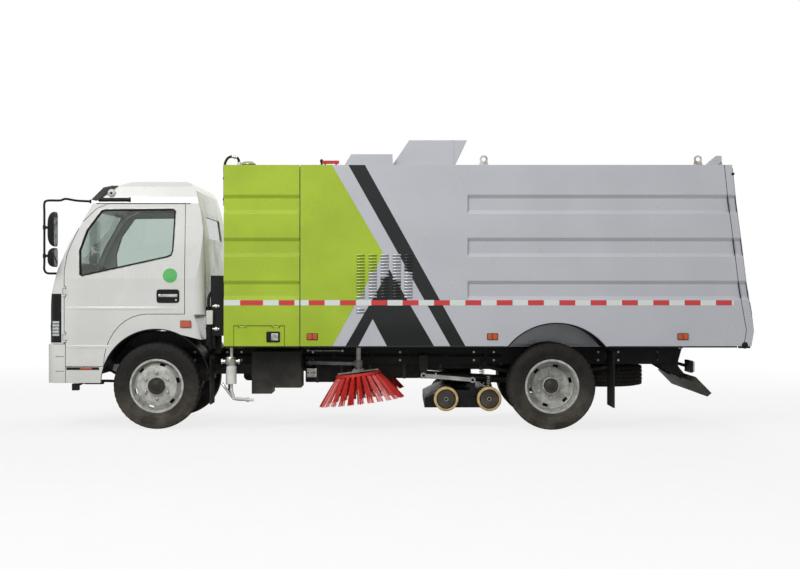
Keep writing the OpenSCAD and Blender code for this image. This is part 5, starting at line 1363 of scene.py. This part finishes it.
# padded seats: crowned cushions with piping along their sewn channels
SEAT_BASE = [(-0.262, 1.118), (0.232, 1.070), (0.250, 1.222), (-0.252, 1.262)]
SEAT_BACK = [(0.158, 1.240), (0.284, 1.222), (0.392, 1.832), (0.286, 1.850)]
piping = Shape()
for seat, middle, half in (("driver", -0.460, 0.240), ("mate", 0.330, 0.380)):
    for part, outline, w in (("base", SEAT_BASE, half - 0.002), ("back", SEAT_BACK, half - 0.012)):
        cushion = Shape()
        line = rounded(from_front(outline), 0.034, 6)
        cx = sum(x for x, z in line) / len(line)
        cz = sum(z for x, z in line) / len(line)
        rings = []
        for k in range(13):
            f = -1 + 2 * k / 12
            swell = (1 - 0.16 * abs(f) ** 6) * (0.985 if k in (4, 8) else 1.0)
            rings.append([(cx + (x - cx) * swell, middle + f * w, cz + (z - cz) * swell) for x, z in line])
        cushion.skin(rings)
        pad = cushion.done(f"{seat}_seat_{part}_cushion", "cab", "seat_cloth", CLOTH, smooth=70,
                           over=["seats"],
                           soft=1)
        for f in (-1 / 3, 1 / 3):
            loop = [(x, middle + f * w, z) for x, z in shrunk(line, 0.0015)]
            piping.tube(loop + loop[:1], 0.0030, 6)
piping.done("seat_seams", "cab", "seat_cloth", SEAL)
base = Shape()
for middle, half in ((-0.460, 0.240), (0.330, 0.380)):
    base.box((FRONT - 0.215, middle - half + 0.045, 1.012), (FRONT + 0.215, middle + half - 0.045, 1.110))
base.done("seat_bases", "cab", *BLACK_TRIM, round_edges=0.006)

# ---------------------------------------------------------------- underbody fittings

filter_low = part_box("water_filter")[0]
fx = FRONT + 0.718
metal = Shape()
metal.turned([(0, 0.050), (0.012, 0.056), (0.052, 0.056), (0.060, 0.048), (0.074, 0.044)],
             (fx, filter_low.y + 0.048, 0.625), (0, 0, 1), 32)
metal.rod((fx - 0.09, filter_low.y + 0.048, 0.655), (fx + 0.09, filter_low.y + 0.048, 0.655), 0.020, 20)
for d in (-0.09, 0.072):
    metal.turned([(0, 0.028), (0.018, 0.028)], (fx + d, filter_low.y + 0.048, 0.655), (1, 0, 0), 6)
metal.done("filter_head", "truck", "bare_steel", STEEL, round_edges=0.0015)

pipe = Shape()
pipe.tube(curve_points([(MODULE - 0.040, -0.92, 0.445), (MODULE + 0.010, -0.94, 0.385),
                        (MODULE + 0.075, -0.95, 0.305),
                        (MODULE + 0.130, -0.95, 0.287), (MODULE + 0.265, -0.95, 0.285)], 6), 0.0125, 12)
pipe.turned([(0, 0.020), (0.030, 0.020), (0.036, 0.013), (0.060, 0.009)], (MODULE + 0.200, -0.95, 0.285),
            (1, 0, 0), 16)
pipe.tube(curve_points([(MODULE + 0.012, -0.93, 0.430), (MODULE + 0.012, -0.93, 0.520),
                        (MODULE + 0.012, -0.90, 0.600),
                        (MODULE + 0.012, -0.72, 0.640), (MODULE + 0.012, -0.40, 0.650)], 6), 0.010, 10)
pipe.done("rinse_pipe", "truck", "bare_steel", STEEL, round_edges=0.001)

rail_side = 0.395
bolts, clips, lines = Shape(), Shape(), Shape()
for s in (-1, 1):
    for x in (FRONT + 0.30, FRONT + 0.62, MODULE + 0.10, HOPPER + 0.08, HOPPER + 0.95, REAR - 0.72,
              REAR - 0.52, REAR + 0.52,
              REAR + 0.72, BACK - 0.80, BACK - 0.70):
        for z in (0.640, 0.720):
            bolts.hex_head((x, s * rail_side, z), (0, s, 0), 0.019, 0.010)
    lines.rod((FRONT + 0.05, s * (rail_side + 0.013), 0.680), (REAR - 0.45, s * (rail_side + 0.013), 0.680),
              0.0065, 10)
    lines.rod((FRONT + 0.05, s * (rail_side + 0.013), 0.697), (REAR - 0.45, s * (rail_side + 0.013), 0.697),
              0.0050, 10)
    for k in range(9):
        x = FRONT + 0.15 + k * 0.38
        clips.box(*sorted_box((x, s * rail_side, 0.668), (x + 0.022, s * (rail_side + 0.021), 0.708)))
bolts.done("rail_bolts", "truck", "bare_steel", STEEL)
lines.done("brake_lines", "truck", *BLACK_TRIM)
clips.done("line_clips", "truck", *BLACK_TRIM, round_edges=0.001)

# bracket and towing arm under the bumper, boxes behind the cab
tow = Shape()
tow.box((FRONT - 0.905, -0.52, 0.345), (FRONT - 0.840, -0.44, 0.412))
tow.tube(curve_points([(FRONT - 0.870, -0.48, 0.385), (FRONT - 0.780, -0.48, 0.425),
                       (FRONT - 0.600, -0.47, 0.437),
                       (FRONT - 0.440, -0.45, 0.437), (FRONT - 0.300, -0.40, 0.470)], 6), 0.014, 10)
tow.box((FRONT - 0.78, -0.50, 0.405), (FRONT - 0.60, -0.43, 0.447))
tow.done("towing_bracket", "truck", "frame_black", CHASSIS, round_edges=0.004)
boxes, valves = Shape(), Shape()
boxes.box((FRONT + 0.482, -0.985, 1.010), (FRONT + 0.545, -0.900, 1.145))
boxes.done("junction_box", "truck", "filter_white", FILTER_WHITE, round_edges=0.006)
valves.box((FRONT + 0.470, -0.900, 0.800), (FRONT + 0.560, -0.560, 1.180))
valves.rod((FRONT + 0.515, -0.945, 0.760), (FRONT + 0.515, -0.945, 1.012), 0.012, 12)
valves.tube(curve_points([(FRONT + 0.500, -0.930, 1.150), (FRONT + 0.500, -0.930, 1.260),
                          (FRONT + 0.520, -0.880, 1.320),
                          (FRONT + 0.520, -0.720, 1.320), (FRONT + 0.520, -0.640, 1.180)], 6), 0.014, 10)
valves.done("valve_block", "truck", *BLACK_TRIM, round_edges=0.005)
fittings = Shape()
for z in (0.965, 1.185):
    fittings.turned([(0, 0.020), (0.024, 0.020), (0.028, 0.013), (0.044, 0.013)], (FRONT + 0.560, -0.940, z),
                    (1, 0, 0), 6)
    fittings.rod((FRONT + 0.540, -0.940, z), (FRONT + 0.562, -0.940, z), 0.013, 12)
fittings.done("air_fittings", "truck", "bare_steel", STEEL)

# rods of the suction head, with its lift springs
head_low, head_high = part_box("suction_box")
springs, rods = Shape(), Shape()
for s in (-1, 1):
    rods.rod((0.3685, s * 0.700, 0.500), (0.3685, s * 0.700, head_high.z), 0.010, 12)
    turns, coil = 9, []
    for k in range(turns * 14 + 1):
        t = 2 * math.pi * k / 14
        coil.append((0.8875 + 0.026 * math.cos(t), s * 0.640 + 0.026 * math.sin(t),
                     0.300 + 0.200 * k / (turns * 14)))
    springs.tube(coil, 0.0045, 6)
rods.done("suction_rods", "suction_box", "bare_steel", STEEL)
springs.done("lift_springs", "suction_box", "bare_steel", STEEL, smooth=70)

# motor on the brush head: its cap screws
for side, s in SIDES.items():
    head_low, head_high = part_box(f"brush_head_{side}")
    cx, cy = (head_low.x + head_high.x) / 2, s * 0.70
    motor = Shape()
    for dx, dy in ((-0.036, -0.036), (0.036, -0.036), (0.036, 0.036), (-0.036, 0.036)):
        motor.hex_head((cx + dx, cy + dy, 0.566), (0.12, 0, 1), 0.013, 0.010)
    motor.done(f"brush_motor_screws_{side}", f"brush_head_{side}", "bare_steel", STEEL)

# rear lamps and blank plate on the underrun bar
lamps_red, lamps_amber, lamps_white, bases = Shape(), Shape(), Shape(), Shape()
for s in (-1, 1):
    bases.box(*sorted_box((BACK - 0.585, s * 0.66, 0.545), (BACK - 0.555, s * 0.96, 0.660)))
    for shape, near, far in ((lamps_red, 0.665, 0.765), (lamps_amber, 0.768, 0.862),
                             (lamps_white, 0.865, 0.955)):
        shape.box(*sorted_box((BACK - 0.556, s * near, 0.552), (BACK - 0.539, s * far, 0.653)))
bases.box((BACK - 0.585, -0.66, 0.585), (BACK - 0.570, 0.66, 0.615))
for s in (-1, 1):
    bases.box(*sorted_box((BACK - 0.640, s * 0.345, 0.596), (BACK - 0.572, s * 0.385, 0.614)))
bases.done("rear_lamp_bar", "truck", *BLACK_TRIM, round_edges=0.003)
lamps_red.done("rear_lamps_red", "truck", "brush_red", RED_LENS, round_edges=0.004)
lamps_amber.done("rear_lamps_amber", "truck", "brush_red", AMBER, round_edges=0.004)
lamps_white.done("rear_lamps_white", "truck", "lamp_clear", WHITE_LENS, round_edges=0.004)
plate = Shape()
plate.box((BACK - 0.571, -0.22, 0.530), (BACK - 0.567, 0.22, 0.665))
plate.done("blank_rear_plate", "truck", "filter_white", TAPE_WHITE, round_edges=0.0008)

# dark boxes between the rails, over the brushes and the suction head: partly tank bodies, partly painted shade
# under the body
tank_boxes_and_shade, straps = Shape(), Shape()
for s in (-1, 1):
    for near, far, low in ((MODULE_END + 0.010, -0.460, 0.415), (-0.440, 0.215, 0.455),
                           (0.235, 1.020, 0.545)):
        tank_boxes_and_shade.box(*sorted_box((near, s * 0.135, low), (far, s * 0.322, 0.660)))
        for k in range(2):
            x = near + (far - near) * (0.22 + 0.52 * k)
            straps.box(*sorted_box((x, s * 0.130, low - 0.003), (x + 0.030, s * 0.3255, 0.655)))
            straps.hex_head((x + 0.015, s * 0.3255, 0.560), (0, s, 0), 0.014, 0.008)
# dark boxes: partly tank bodies, partly painted shade under the body
tank_boxes_and_shade.done("hydraulic_tank_boxes_and_underbody_shade", "truck", "frame_black", CHASSIS, round_edges=0.012)
straps.done("tank_straps", "truck", "frame_black", IRON, round_edges=0.001)
linkage = Shape()
for s in (-1, 1):
    linkage.rod((HOPPER + 0.030, s * 0.425, 0.734), (HOPPER + 0.375, s * 0.425, 0.734), 0.0060, 12)
    for x in (HOPPER + 0.030, HOPPER + 0.375):
        linkage.turned([(0, 0.014), (0.014, 0.014), (0.016, 0.010)], (x, s * 0.395, 0.734), (0, s, 0), 18)
        linkage.rod((x, s * 0.405, 0.734), (x, s * 0.432, 0.734), 0.0085, 12)
linkage.done("locking_rods", "truck", "bare_steel", STEEL, round_edges=0.001)
valves = Shape()
for s in (-1, 1):
    valves.box(*sorted_box((HOPPER + 0.020, s * 0.345, 0.470), (HOPPER + 0.120, s * 0.430, 0.560)))
    for k in range(3):
        x = HOPPER + 0.038 + k * 0.030
        valves.turned([(0, 0.010), (0.016, 0.010), (0.018, 0.006), (0.030, 0.006)], (x, s * 0.430, 0.515),
                      (0, s, 0), 6)
valves.done("valve_bank", "truck", "bare_steel", STEEL, round_edges=0.002)

# ---------------------------------------------------------------- rear door

DOOR_FACE = [(0.025, 0.0), (0.0, 0.149), (0.045, 0.411), (0.076, 0.602), (0.129, 1.034), (0.175, 1.380),
             (0.210, 1.728)]


def door_x(z):
    """Outer face of the closed rear door at a height."""
    up = z - FLOOR
    for (da, za), (db, zb) in zip(DOOR_FACE, DOOR_FACE[1:]):
        if up <= zb:
            return BACK - da - (db - da) * (up - za) / (zb - za)
    return BACK - DOOR_FACE[-1][0]


def on_door(shape, y0, y1, z0, z1, proud, steps=14):
    """A strip that follows the door's face, no further back than the truck's end."""
    rings = []
    for k in range(steps + 1):
        z = z0 + (z1 - z0) * k / steps
        x = door_x(z)
        edge = min(x + proud, BACK - 0.0003)
        rings.append([(x - 0.002, y0, z), (edge, y0 + 0.004, z), (edge, y1 - 0.004, z), (x - 0.002, y1, z)])
    shape.skin(rings)


ribs = Shape()
for y in (-0.72, -0.36, 0.0, 0.36, 0.72):
    on_door(ribs, y - 0.035, y + 0.035, FLOOR + 0.230, ROOF - 0.090, 0.014)
on_door(ribs, -1.06, 1.06, FLOOR + 0.190, FLOOR + 0.240, 0.010, 3)
on_door(ribs, -1.06, 1.06, ROOF - 0.100, ROOF - 0.045, 0.012, 3)
ribs.done("rear_door_ribs", "rear_door", "silver_paint", SILVER, round_edges=0.003)
white, red = Shape(), Shape()
for k in range(14):
    y = -1.06 + k * 0.1515
    on_door(red if k % 2 else white, y, y + 0.150, 1.290, 1.342, 0.0155, 2)
white.done("rear_white_tape", "rear_door", "silver_paint", TAPE_WHITE)
red.done("rear_red_tape", "rear_door", "brush_red", TAPE_RED)
catches, rubber = Shape(), Shape()
for s in (-1, 1):
    on_door(catches, *sorted((s * 0.955, s * 1.055)), FLOOR + 0.300, FLOOR + 0.420, 0.020, 3)
    for z in (FLOOR + 0.33, FLOOR + 0.39):
        catches.hex_head((door_x(z) + 0.0195, s * 1.005, z), (1, 0, 0), 0.016, 0.009)
    on_door(rubber, *sorted((s * 1.075, s * 1.095)), FLOOR + 0.160, ROOF - 0.030, 0.006)
catches.done("rear_door_catches", "rear_door", "bare_steel", STEEL, round_edges=0.0015)
rubber.done("rear_door_edges", "rear_door", "flap_rubber", SEAL, round_edges=0.001)
